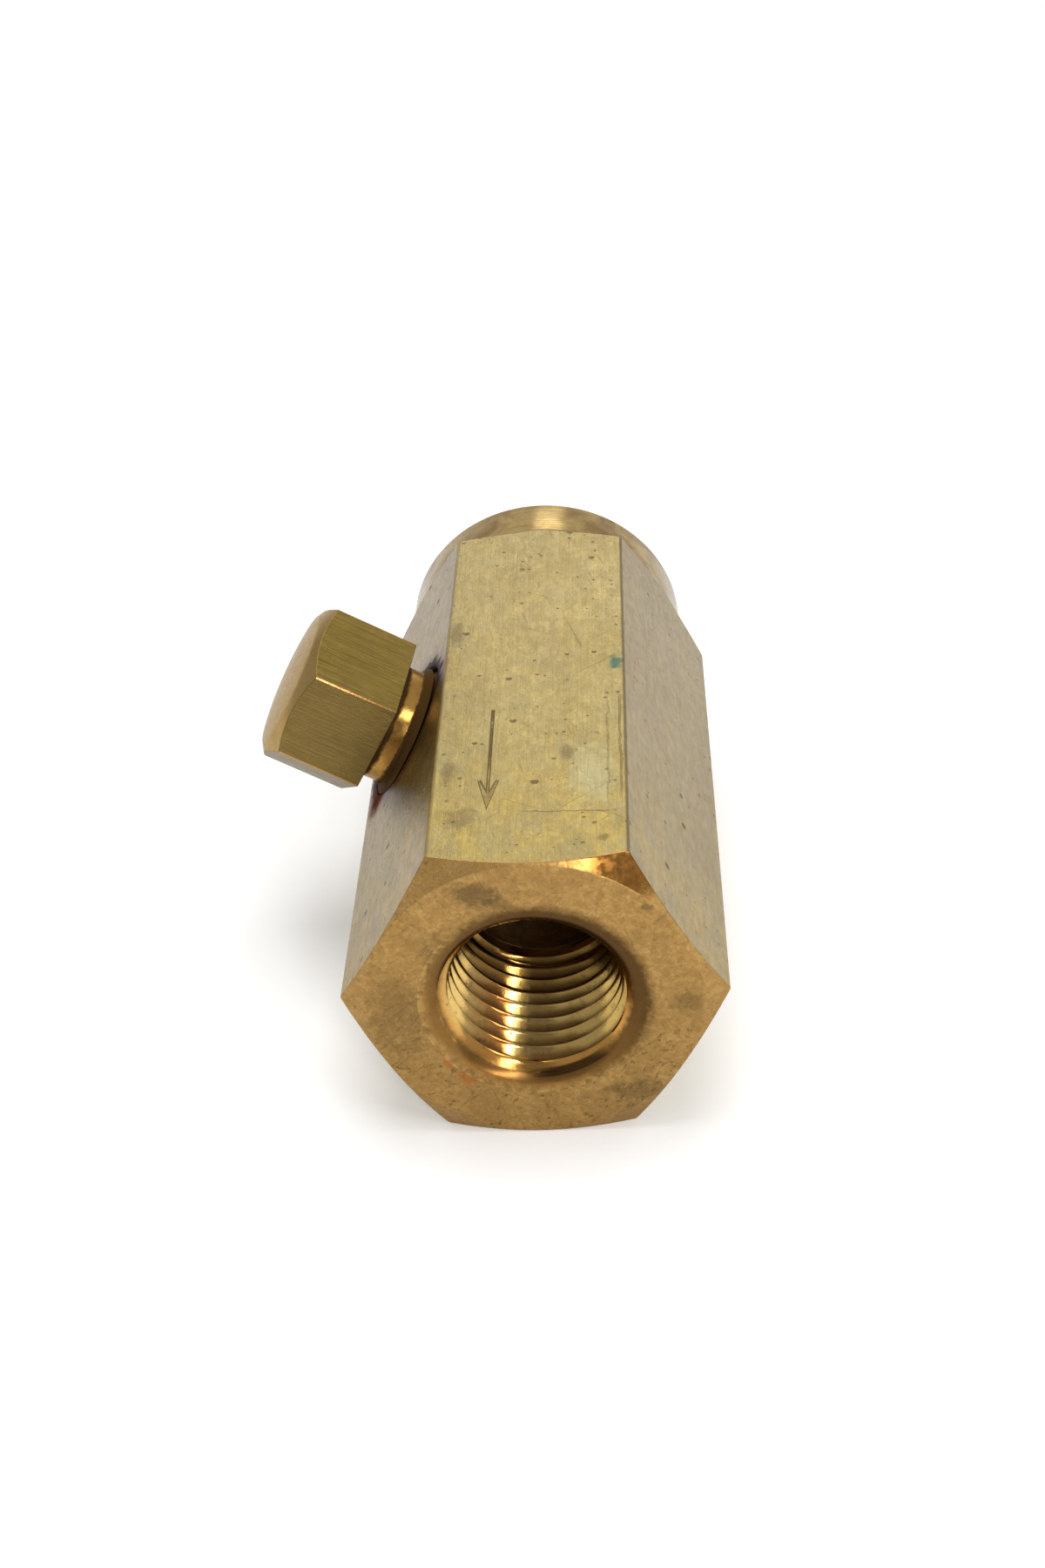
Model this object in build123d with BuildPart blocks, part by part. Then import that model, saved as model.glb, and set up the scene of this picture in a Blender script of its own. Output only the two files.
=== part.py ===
from build123d import *
import os
from math import cos, hypot, pi, radians, sin, tan

# In-line non-return valve: a hexagon-bar body with a pipe port in each end, a spring-closed poppet
# inside, and a hexagon-head plug in a side port.
# The origin is on the bottom flat, under the middle of the body. +Y runs along the bore from the
# outlet to the inlet, and +Z is up. Places along the bore are distances from the outlet face, and
# places along the side plug are distances from the bore's axis.

# Hexagon bar and its turned ends
HEX_AF = 22.225
CORNER_RADIUS = 0.3
BODY_LENGTH = 50.8
FACE_INSET = 0.15
FACE_CHAMFER_ANGLE = 30
ROUND_END_STEP = 0.05
ROUND_END_LENGTH = 5.2
SHOULDER_ANGLE = 52
EDGE_BREAK = 0.4

# Pipe ports: a 1/4 inch taper thread stands as a plain bore at its mean pitch diameter
PORT_BORE_D = 12.1
PORT_DEPTH = 13.0
PORT_LIP_D = 13.8
DRILL_POINT_ANGLE = 118

# Valve chamber and seat
CHAMBER_D = 11.1
WEB_THICKNESS = 1.4
SEAT_BORE_D = 6.0
SEAT_LIP_WIDTH = 0.7
SEAT_LIP_HEIGHT = 0.9

# Poppet and its soft disc
DISC_D = 8.4
DISC_THICKNESS = 1.6
DISC_PROUD = 0.4
CUP_WALL = 0.5
CUP_FLOOR = 1.8
BOSS_D = 5.0
BOSS_LENGTH = 1.8
STEM_D = 3.0
STEM_END_GAP = 0.3
POPPET_EDGE = 0.3
LIFT = 3.0
STOP_GAP = 0.1

# Retaining ring and the groove that holds it
RING_THICKNESS = 1.0
RING_WIDTH = 1.1
RING_GAP_ANGLE = 50
RING_LUG_R = 1.05
RING_EYE_D = 1.0
GROOVE_DEPTH = 0.4
GROOVE_PLAY = 0.1

# Spring guide
GUIDE_THICKNESS = 2.0
GUIDE_FIT = 0.1
GUIDE_PORT_D = 3.6
GUIDE_PORTS = 4
STEM_FIT = 0.1

# Spring, at the length that it has with the valve shut
SPRING_LENGTH = 8.4
SPRING_OD = 7.2
WIRE_D = 0.7
WIRE_SIDES = 12
ACTIVE_HALF_TURNS = 7
SPRING_SEAT_GAP = 0.02

# Side port and its plug: a 1/8 inch taper thread stands as a plain taper at its pitch diameter
SIDE_PORT_TO_SEAT = 8.5
SIDE_THREAD_D = 9.49
THREAD_TAPER = 1 / 16
SIDE_LIP_D = 10.6
SIDE_FIT = 0.05
PLUG_SHANK_LENGTH = 4.8
PLUG_END_CHAMFER = 0.6
PLUG_NECK_D = 8.6
PLUG_NECK_LENGTH = 2.3
PLUG_HEX_AF = 11.11
PLUG_HEAD_HEIGHT = 7.4
PLUG_TOP_INSET = 0.55
PLUG_CHAMFER_ANGLE = 30
PLUG_CROWN = 0.4
PLUG_TURN = 38

# How far a turning profile stands clear of a bar's corners, or a cut runs past a face
CUT_MARGIN = 0.3

# Radii and places along the bore that follow from those sizes
HEX_SIDE_ANGLE = 30
AXIS_Z = HEX_AF / 2
OUTLET_Y = -BODY_LENGTH / 2
FLAT_R = HEX_AF / 2
CORNER_R = FLAT_R / cos(radians(HEX_SIDE_ANGLE))
FACE_R = FLAT_R - FACE_INSET
ROUND_END_R = FLAT_R - ROUND_END_STEP
PORT_R = PORT_BORE_D / 2
PORT_LIP_R = PORT_LIP_D / 2
PORT_LIP_DEPTH = PORT_LIP_R - PORT_R
CHAMBER_R = CHAMBER_D / 2
SEAT_BORE_R = SEAT_BORE_D / 2
SEAT_LIP_R = SEAT_BORE_R + SEAT_LIP_WIDTH
INLET_PORT_END = BODY_LENGTH - PORT_DEPTH
DRILL_POINT = (PORT_R - SEAT_BORE_R) / tan(radians(DRILL_POINT_ANGLE / 2))
CHAMBER_END = INLET_PORT_END - DRILL_POINT - WEB_THICKNESS
SEAT_AT = CHAMBER_END - SEAT_LIP_HEIGHT

DISC_R = DISC_D / 2
DISC_BACK = SEAT_AT - DISC_THICKNESS
CUP_RIM = SEAT_AT - DISC_PROUD
HEAD_R = DISC_R + CUP_WALL
HEAD_BACK = DISC_BACK - CUP_FLOOR
BOSS_R = BOSS_D / 2
BOSS_END = HEAD_BACK - BOSS_LENGTH
STEM_R = STEM_D / 2

GUIDE_FACE = HEAD_BACK - SPRING_LENGTH
GUIDE_AT = GUIDE_FACE - GUIDE_THICKNESS
GUIDE_R = CHAMBER_R - GUIDE_FIT
RING_AT = GUIDE_AT - RING_THICKNESS
GROOVE_R = CHAMBER_R + GROOVE_DEPTH
GROOVE_START = RING_AT - GROOVE_PLAY
RING_R = GROOVE_R - GROOVE_PLAY
RING_INNER_R = RING_R - RING_WIDTH
SLEEVE_END = BOSS_END - LIFT - STOP_GAP
STEM_END = GUIDE_AT + STEM_END_GAP

SPRING_R = (SPRING_OD - WIRE_D) / 2
SPRING_START = GUIDE_FACE + SPRING_SEAT_GAP + WIRE_D / 2
SPRING_END = HEAD_BACK - SPRING_SEAT_GAP - WIRE_D / 2

# Radii and places along the side plug
SIDE_THREAD_R = SIDE_THREAD_D / 2
SIDE_LIP_R = SIDE_LIP_D / 2
PLUG_SHANK_END = FLAT_R - PLUG_SHANK_LENGTH
PLUG_NECK_R = PLUG_NECK_D / 2
PLUG_HEAD_AT = FLAT_R + PLUG_NECK_LENGTH
PLUG_TOP_AT = PLUG_HEAD_AT + PLUG_HEAD_HEIGHT
PLUG_FLAT_R = PLUG_HEX_AF / 2
PLUG_CORNER_R = PLUG_FLAT_R / cos(radians(HEX_SIDE_ANGLE))
PLUG_TOP_R = PLUG_FLAT_R - PLUG_TOP_INSET

# Axes and planes: a turned piece's profile is drawn with the distance along first, then the radius
BORE_START = (0, OUTLET_Y, AXIS_Z)
BORE_AXIS = Axis(BORE_START, (0, 1, 0))
BORE_PROFILE = Plane(origin=BORE_START, x_dir=(0, 1, 0), z_dir=(1, 0, 0))
SIDE_CENTRE = Vector(0, OUTLET_Y + SEAT_AT - SIDE_PORT_TO_SEAT, AXIS_Z)
SIDE_OUT = Vector(-cos(radians(HEX_SIDE_ANGLE)), 0, sin(radians(HEX_SIDE_ANGLE)))
SIDE_AXIS = Axis(SIDE_CENTRE, SIDE_OUT)
SIDE_PROFILE = Plane(origin=SIDE_CENTRE, x_dir=SIDE_OUT, z_dir=(0, 1, 0))


def across_bore(distance):
    """The plane square to the bore, facing the inlet, at a distance from the outlet face."""
    return Plane(origin=(0, OUTLET_Y + distance, AXIS_Z), x_dir=(1, 0, 0), z_dir=(0, 1, 0))


def across_plug(distance):
    """The plane square to the side plug, facing outwards, at a distance from the bore's axis."""
    return Plane(origin=SIDE_CENTRE + SIDE_OUT * distance, x_dir=(0, 1, 0), z_dir=SIDE_OUT)


def side_thread_r(distance):
    """The side thread's pitch radius at a distance from the bore's axis."""
    return SIDE_THREAD_R + (distance - FLAT_R) * THREAD_TAPER / 2


# Body: hexagon bar, turned at both ends, bored through and tapped at the side
bar_r = CORNER_R + CUT_MARGIN
face_chamfer = (bar_r - FACE_R) * tan(radians(FACE_CHAMFER_ANGLE))
shoulder_end = BODY_LENGTH - ROUND_END_LENGTH
shoulder_start = shoulder_end - (bar_r - ROUND_END_R) / tan(radians(SHOULDER_ANGLE))
side_cut_start = CHAMBER_R / 3
side_lip_depth = SIDE_LIP_R - side_thread_r(FLAT_R)

with BuildPart() as body:
    with BuildSketch(across_bore(0)) as bar_section:
        RegularPolygon(FLAT_R, 6, major_radius=False)
        fillet(bar_section.vertices(), CORNER_RADIUS)
    extrude(amount=BODY_LENGTH)

    # Chamfered outlet face, cone and round spigot at the inlet end
    with BuildSketch(BORE_PROFILE):
        with BuildLine():
            Polyline(
                (0, 0),
                (0, FACE_R),
                (face_chamfer, bar_r),
                (shoulder_start, bar_r),
                (shoulder_end, ROUND_END_R),
                (BODY_LENGTH - EDGE_BREAK, ROUND_END_R),
                (BODY_LENGTH, ROUND_END_R - EDGE_BREAK),
                (BODY_LENGTH, 0),
                close=True,
            )
        make_face()
    revolve(axis=BORE_AXIS, mode=Mode.INTERSECT)

    # Outlet port, chamber with ring groove, seat lip and inlet port
    with BuildSketch(BORE_PROFILE):
        with BuildLine():
            Polyline(
                (0, 0),
                (0, PORT_LIP_R),
                (PORT_LIP_DEPTH, PORT_R),
                (PORT_DEPTH, PORT_R),
                (PORT_DEPTH + PORT_R - CHAMBER_R, CHAMBER_R),
                (GROOVE_START, CHAMBER_R),
                (GROOVE_START, GROOVE_R),
                (GUIDE_AT, GROOVE_R),
                (GUIDE_AT, CHAMBER_R),
                (CHAMBER_END, CHAMBER_R),
                (CHAMBER_END, SEAT_LIP_R),
                (SEAT_AT, SEAT_LIP_R),
                (SEAT_AT, SEAT_BORE_R),
                (INLET_PORT_END - DRILL_POINT, SEAT_BORE_R),
                (INLET_PORT_END, PORT_R),
                (BODY_LENGTH - PORT_LIP_DEPTH, PORT_R),
                (BODY_LENGTH, PORT_LIP_R),
                (BODY_LENGTH, 0),
                close=True,
            )
        make_face()
    revolve(axis=BORE_AXIS, mode=Mode.SUBTRACT)

    # Side port, tapped through the wall into the chamber
    with BuildSketch(SIDE_PROFILE):
        with BuildLine():
            Polyline(
                (side_cut_start, 0),
                (side_cut_start, side_thread_r(side_cut_start)),
                (FLAT_R - side_lip_depth, side_thread_r(FLAT_R - side_lip_depth)),
                (FLAT_R, SIDE_LIP_R),
                (FLAT_R + CUT_MARGIN, SIDE_LIP_R),
                (FLAT_R + CUT_MARGIN, 0),
                close=True,
            )
        make_face()
    revolve(axis=SIDE_AXIS, mode=Mode.SUBTRACT)

# Poppet: cup for the disc, boss that centres the spring, and guide stem
with BuildPart() as poppet:
    with BuildSketch(BORE_PROFILE):
        with BuildLine():
            Polyline(
                (STEM_END, 0),
                (STEM_END, STEM_R - POPPET_EDGE),
                (STEM_END + POPPET_EDGE, STEM_R),
                (BOSS_END, STEM_R),
                (BOSS_END, BOSS_R - POPPET_EDGE),
                (BOSS_END + POPPET_EDGE, BOSS_R),
                (HEAD_BACK, BOSS_R),
                (HEAD_BACK, HEAD_R - POPPET_EDGE),
                (HEAD_BACK + POPPET_EDGE, HEAD_R),
                (CUP_RIM, HEAD_R),
                (CUP_RIM, DISC_R),
                (DISC_BACK, DISC_R),
                (DISC_BACK, 0),
                close=True,
            )
        make_face()
    revolve(axis=BORE_AXIS)

# Soft disc, pressed into the poppet's cup
with BuildPart() as seat_disc:
    with BuildSketch(across_bore(DISC_BACK)):
        Circle(DISC_R)
    extrude(amount=DISC_THICKNESS)

# Spring guide: a spider with scalloped flow ports and a sleeve for the poppet's stem
with BuildPart() as spring_guide:
    with BuildSketch(across_bore(GUIDE_AT)):
        Circle(GUIDE_R)
        with PolarLocations(GUIDE_R, GUIDE_PORTS):
            Circle(GUIDE_PORT_D / 2, mode=Mode.SUBTRACT)
    extrude(amount=GUIDE_THICKNESS)
    with BuildSketch(across_bore(GUIDE_FACE)):
        Circle(BOSS_R)
    extrude(amount=SLEEVE_END - GUIDE_FACE)
    with BuildSketch(across_bore(GUIDE_AT)):
        Circle(STEM_R + STEM_FIT)
    extrude(amount=SLEEVE_END - GUIDE_AT, mode=Mode.SUBTRACT)

# Retaining ring: open at the top, with an eyed lug at each end of the gap
lug_angle = RING_GAP_ANGLE / 2
lug_centre_r = RING_INNER_R - RING_LUG_R / 2
gap_reach = 2 * GROOVE_R
gap_half = gap_reach * tan(radians(RING_GAP_ANGLE / 2))

with BuildPart() as retaining_ring:
    with BuildSketch(across_bore(RING_AT)):
        Circle(RING_R)
        Circle(RING_INNER_R, mode=Mode.SUBTRACT)
        with BuildLine():
            Polyline((0, 0), (-gap_half, -gap_reach), (gap_half, -gap_reach), close=True)
        make_face(mode=Mode.SUBTRACT)
        with PolarLocations(lug_centre_r, 2, lug_angle - 90, -RING_GAP_ANGLE, endpoint=True):
            Circle(RING_LUG_R)
            Circle(RING_EYE_D / 2, mode=Mode.SUBTRACT)
    extrude(amount=RING_THICKNESS)

# Spring: wire in half turns, each one half a circle that is tilted so that it rises evenly, with a
# flat half turn at each end; twelve-sided wire keeps the facets few
spring_rise = (SPRING_END - SPRING_START) / ACTIVE_HALF_TURNS
tilted_r = hypot(SPRING_R, spring_rise / 2)


def coil_point(half_turns, radius):
    """The wire's centre after so many half turns, at a radius from the bore axis."""
    risen = min(max(half_turns - 1, 0), ACTIVE_HALF_TURNS)
    along = SPRING_START + spring_rise * risen
    side = pi * half_turns
    return (radius * cos(side), OUTLET_Y + along, AXIS_Z - radius * sin(side))


with BuildPart() as spring:
    with BuildLine() as coil:
        for half in range(ACTIVE_HALF_TURNS + 2):
            rising = 0 < half <= ACTIVE_HALF_TURNS
            ThreePointArc(
                coil_point(half, SPRING_R),
                coil_point(half + 0.5, tilted_r if rising else SPRING_R),
                coil_point(half + 1, SPRING_R),
            )
    with BuildSketch(Plane(origin=coil.line @ 0, z_dir=coil.line % 0)):
        RegularPolygon(WIRE_D / 2, WIRE_SIDES)
    sweep(path=coil.line)

# Side plug: tapered shank, relieved neck and chamfered hexagon head
shank_tip_r = side_thread_r(PLUG_SHANK_END) - SIDE_FIT
shank_top_r = side_thread_r(FLAT_R) - SIDE_FIT
head_r = PLUG_CORNER_R + CUT_MARGIN
head_chamfer = (head_r - PLUG_TOP_R) * tan(radians(PLUG_CHAMFER_ANGLE))
head_edge = PLUG_TOP_AT - PLUG_CROWN
crown_r = (PLUG_TOP_R**2 + PLUG_CROWN**2) / (2 * PLUG_CROWN)

with BuildPart() as side_plug:
    with BuildSketch(across_plug(PLUG_HEAD_AT)):
        RegularPolygon(PLUG_FLAT_R, 6, major_radius=False, rotation=PLUG_TURN)
    extrude(amount=PLUG_HEAD_HEIGHT)
    with BuildSketch(SIDE_PROFILE):
        with BuildLine():
            Polyline(
                (PLUG_TOP_AT, 0),
                (PLUG_HEAD_AT, 0),
                (PLUG_HEAD_AT, head_r),
                (head_edge - head_chamfer, head_r),
                (head_edge, PLUG_TOP_R),
            )
            RadiusArc((head_edge, PLUG_TOP_R), (PLUG_TOP_AT, 0), crown_r)
        make_face()
    revolve(axis=SIDE_AXIS, mode=Mode.INTERSECT)
    with BuildSketch(SIDE_PROFILE):
        with BuildLine():
            Polyline(
                (PLUG_SHANK_END, 0),
                (PLUG_SHANK_END, shank_tip_r - PLUG_END_CHAMFER),
                (PLUG_SHANK_END + PLUG_END_CHAMFER, shank_tip_r),
                (FLAT_R, shank_top_r),
                (FLAT_R, PLUG_NECK_R),
                (PLUG_HEAD_AT, PLUG_NECK_R),
                (PLUG_HEAD_AT, 0),
                close=True,
            )
        make_face()
    revolve(axis=SIDE_AXIS)

os.makedirs("parts", exist_ok=True)

body.part.label = "body"
export_step(body.part, "parts/body.step")
poppet.part.label = "poppet"
export_step(poppet.part, "parts/poppet.step")
seat_disc.part.label = "seat_disc"
export_step(seat_disc.part, "parts/seat_disc.step")
spring_guide.part.label = "spring_guide"
export_step(spring_guide.part, "parts/spring_guide.step")
retaining_ring.part.label = "retaining_ring"
export_step(retaining_ring.part, "parts/retaining_ring.step")
spring.part.label = "spring"
export_step(spring.part, "parts/spring.step")
side_plug.part.label = "side_plug"
export_step(side_plug.part, "parts/side_plug.step")
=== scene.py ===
"""Finishing of a brass non-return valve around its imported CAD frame.

The body, the side plug and the spring are modelled again with real threads, rounded edges and a stamped
flow arrow. The inner parts keep their CAD shape. Every piece gets a worn brass, steel or rubber finish.
"""

import math
from typing import NamedTuple

import bmesh
import bpy
from bpy.props import FloatProperty, FloatVectorProperty, PointerProperty
from mathutils import Matrix, Vector


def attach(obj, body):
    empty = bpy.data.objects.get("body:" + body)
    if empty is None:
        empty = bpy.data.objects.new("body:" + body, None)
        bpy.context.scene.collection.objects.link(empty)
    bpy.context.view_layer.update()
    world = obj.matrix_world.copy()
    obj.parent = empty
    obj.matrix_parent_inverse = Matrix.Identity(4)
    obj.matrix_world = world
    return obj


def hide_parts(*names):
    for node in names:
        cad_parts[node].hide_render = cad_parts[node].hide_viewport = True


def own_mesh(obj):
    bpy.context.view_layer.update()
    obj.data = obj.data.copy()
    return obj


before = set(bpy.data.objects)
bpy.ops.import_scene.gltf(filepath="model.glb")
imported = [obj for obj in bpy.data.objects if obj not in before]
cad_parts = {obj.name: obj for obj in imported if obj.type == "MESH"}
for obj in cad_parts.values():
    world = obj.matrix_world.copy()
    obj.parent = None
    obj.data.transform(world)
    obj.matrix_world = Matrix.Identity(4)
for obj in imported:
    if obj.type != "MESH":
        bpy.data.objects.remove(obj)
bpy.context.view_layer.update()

bl_info = {
    "name": "Non-return valve",
    "version": (1, 0, 0),
    "blender": (4, 5, 0),
    "location": "3D View > Sidebar > Valve",
    "description": "Builds a worn brass non-return valve with real pipe threads",
    "category": "Object",
}

MM = 0.001

# Steps of round shapes
BAR_SIDES = 6
BORE_STEPS = 120
PLUG_STEPS = 96
LIP_STEPS = 12
FILLET_STEPS = 6
DOME_STEPS = 10
ROWS_PER_THREAD = 16
WIRE_SIDES = 16
HALF_TURN_STEPS = 24
CORNER_SEGMENTS = 3
EDGE_SEGMENTS = 2

# Tolerances, and the angles and slopes that tell one face from the next
CUT_TOLERANCE = 1e-7
WELD = 1e-6
ROW_WELD = 0.05
FLAT_MATCH = 0.9999
PLANED_ANGLE = math.radians(2)
SHARP_ANGLE = math.radians(25)
SMOOTH_ANGLE = math.radians(38)
FACING_DOWN = -0.9

# Turned stock: how far it stands outside a hexagon's corners
STOCK_SPARE = 0.3 * MM

# Cutter of the side port: how far it stands out of the flat, its foot as a share of the chamber's diameter
# from the axis, and its play round the plug's thread
CUTTER_SPARE = 1 * MM
CUTTER_FOOT = 1 / 6
SIDE_PORT_PLAY = 0.03 * MM

# Drill point, slope of a port's countersink, chamfer at the plug's tip, and the share of a thread's blunted
# height that its root loses
DRILL_HALF_ANGLE = math.radians(59)
LIP_SLOPE = math.radians(45)
TIP_CHAMFER = 0.3 * MM
ROOT_SHARE = 0.7

# Half turns of the spring
CLOSED_HALF_TURNS = 1
ACTIVE_HALF_TURNS = 7

# How far a finish reaches: from the end faces, into the side port and past the underside of the plug's head
FACE_REACH = 2 * MM
ROUND_END_REACH = 9 * MM
COUNTERSINK_REACH = 0.5 * MM
UNDERSIDE_REACH = 0.05 * MM

# Share of a normal that points out of the plug's head, from which a face is part of its top or chamfer
TOP_SLOPE = 0.8
CHAMFER_SLOPE = 0.15

# Stage, in metres: the floor, the distances over which it brightens, and the panels that light the object,
# each with its place, its width and height, and the setting that holds its brightness
FLOOR_REACH = 3.0
FLOOR_HAZE = (0.86, 0.86, 0.87, 1)
FLOOR_HAZE_SHARE = 0.05
FLOOR_NEAR = (0.025, 0.07)
FLOOR_FAR = (0.3, 0.9)
FLOOR_FAR_LIFT = 0.12
PANELS = {
    "top_panel": ((0, 0.03, 0.5), (0.3, 0.3), "top_light"),
    "back_panel": ((0.01, 0.5, 0.32), (0.1, 0.3), "back_light"),
    "front_strip": ((0.085, -0.29, 0.13), (0.025, 0.16), "strip_light"),
    "front_side_panel": ((0.227, -0.212, 0.265), (0.13, 0.1), "side_light"),
}

# Room: the direction of the camera, and where the patches round it and behind the object begin and end
CAMERA_SIDE = (0.04, -0.8, 0.6)
CAMERA_PATCH = (0.88, 0.97)
BEHIND_PATCH = (0.5, 0.97)
SENSOR_WIDTH = 36
CLIP_START = 0.005


def length(name, description, millimetres):
    """A size that a user may change, stated in millimetres and kept in metres."""
    return FloatProperty(
        name=name, description=description, default=millimetres * MM, unit="LENGTH", precision=5
    )


def turn(name, description, degrees):
    """An angle that a user may change."""
    return FloatProperty(
        name=name, description=description, default=math.radians(degrees), unit="ROTATION"
    )


def amount(name, description, value):
    """A plain number that a user may change."""
    return FloatProperty(name=name, description=description, default=value, min=0)


def linear(channel):
    """One display channel, 0 to 255, as linear light."""
    share = channel / 255
    return share / 12.92 if share <= 0.04045 else ((share + 0.055) / 1.055) ** 2.4


def paint(name, description, *shown):
    """A colour that a user may change, stated as it shows on a display."""
    return FloatVectorProperty(
        name=name,
        description=description,
        default=(*(linear(channel) for channel in shown), 1),
        size=4,
        min=0,
        max=1,
        subtype="COLOR",
    )


class BodySizes(bpy.types.PropertyGroup):
    """The hexagon bar, its turned ends and the chamber."""

    across_flats: length("Across flats", "Width of the hexagon bar", 22.225)
    corner_radius: length("Corner radius", "Rounding along the bar's six corners", 0.3)
    body_length: length("Length", "From the outlet face to the inlet face", 50.8)
    face_inset: length("Face inset", "How far the outlet face stays inside the flats", 0.15)
    face_chamfer: turn("Face chamfer", "Slope of the outlet corners, from the face", 30)
    round_step: length("Round end step", "How far the round inlet end is turned below the flats", 0.05)
    round_length: length("Round end length", "Straight run of the round inlet end", 5.2)
    shoulder_slope: turn("Shoulder slope", "Slope of the cone down to the round end", 52)
    shoulder_fillet: length("Shoulder fillet", "Radius at the foot of the round end's shoulder", 1.2)
    edge_break: length("Edge break", "Chamfer on the rim of the round end", 0.4)
    edge_rounding: length("Edge rounding", "Softening of every sharp outer edge", 0.05)
    chamber_d: length("Chamber", "Diameter of the valve chamber", 11.1)
    groove_depth: length("Groove depth", "Depth of the ring's groove", 0.4)
    groove_start: length("Groove start", "From the outlet face to the ring's groove", 18.767)
    groove_end: length("Groove end", "From the outlet face to the guide's shoulder", 19.867)
    chamber_end: length("Chamber end", "From the outlet face to the web with the seat", 34.567)
    seat_lip_d: length("Seat lip", "Outer diameter of the raised seat", 7.4)
    seat_lip_height: length("Seat lip height", "Height of the raised seat", 0.9)
    seat_bore_d: length("Seat bore", "Diameter of the hole through the seat", 6.0)
    web_end: length("Web end", "From the outlet face to the inlet side of the web", 35.967)


class PortSizes(bpy.types.PropertyGroup):
    """The tapered pipe thread in each end."""

    pitch: length("Pitch", "From one thread to the next", 1.411)
    height: length("Thread height", "From root to crest", 0.82)
    flank: turn("Flank", "Lean of each worn thread flank from square to the bore", 35)
    root_d: length("Root", "Diameter over the thread roots at the mouth", 13.26)
    drill_d: length("Drill", "Diameter of the drilled hole, which flattens the crests", 11.2)
    taper: amount("Taper", "Diameter lost for each unit of depth", 1 / 16)
    depth: length("Depth", "Depth of the threaded port", 13.0)
    lip_d: length("Lip", "Diameter of the countersink at the mouth", 13.8)
    lip_rounding: length("Lip rounding", "Radius between the end face and the countersink", 1.8)


class PlugSizes(bpy.types.PropertyGroup):
    """The hexagon-head plug in the side port."""

    along: length("Place along", "Place along the bore, from the middle of the body", -0.233)
    lean: turn("Lean", "Slope of the plug's axis above the horizontal", 30)
    turned: turn("Turn", "Turn of the head about its axis", 38)
    across_flats: length("Head across flats", "Width of the hexagon head", 11.11)
    head_start: length("Head start", "From the bore's axis to the underside of the head", 13.4125)
    head_end: length("Head end", "From the bore's axis to the top of the head", 20.8125)
    top_inset: length("Top inset", "How far the top circle stays inside the flats", 0.55)
    chamfer: turn("Chamfer", "Slope of the head's corners, from its top", 30)
    crown: length("Crown", "Rise of the domed top", 0.4)
    neck_d: length("Neck", "Diameter of the relieved neck", 8.6)
    shank_start: length("Shank start", "From the bore's axis to the tip of the shank", 6.3125)
    run_out: length("Run out", "From the bore's axis to the end of the thread", 11.85)
    pitch: length("Pitch", "From one thread to the next", 0.941)
    height: length("Thread height", "From root to crest", 0.66)
    flank: turn("Flank", "Lean of each thread flank from square to the shank", 30)
    crest_d: length("Crest", "Diameter over the threads at the flat of the body", 10.12)
    taper: amount("Taper", "Diameter gained for each unit towards the head", 1 / 16)
    lip_d: length("Side port lip", "Diameter of the side port's countersink", 10.4)
    edge_rounding: length("Edge rounding", "Softening of the head's corners", 0.16)
    rim_rounding: length("Rim rounding", "Softening of the head's other edges", 0.03)


class SpringSizes(bpy.types.PropertyGroup):
    """The closing spring, with the valve shut."""

    outer_d: length("Outer diameter", "Over the coils", 7.2)
    wire_d: length("Wire", "Diameter of the wire", 0.7)
    start: length("Start", "Place of the guide's face along the bore", -3.533)
    fitted: length("Fitted length", "From the guide's face to the back of the poppet's head", 8.4)
    seat_gap: length("Seat gap", "Play at each end", 0.02)
    lift: length("Lift", "How far the poppet opens", 3.0)


class ArrowSizes(bpy.types.PropertyGroup):
    """The flow arrow stamped in the top flat."""

    aside: length("Aside", "Place of the shaft across the flat", -2.72)
    tail: length("Tail", "Place of the shaft's tail along the bore", -6.8)
    tip: length("Tip", "Place of the tip along the bore", -18.8)
    barb_length: length("Barb length", "From the tip to the barbs' ends, along the bore", 3.1)
    barb_spread: length("Barb spread", "From the shaft to a barb's end", 0.62)
    stroke: length("Stroke", "Width of the stamped strokes", 0.26)
    slope: length("Slope", "Width of the strokes' slanted walls", 0.09)
    depth: length("Depth", "Depth of the stamped strokes", 0.09)


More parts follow.
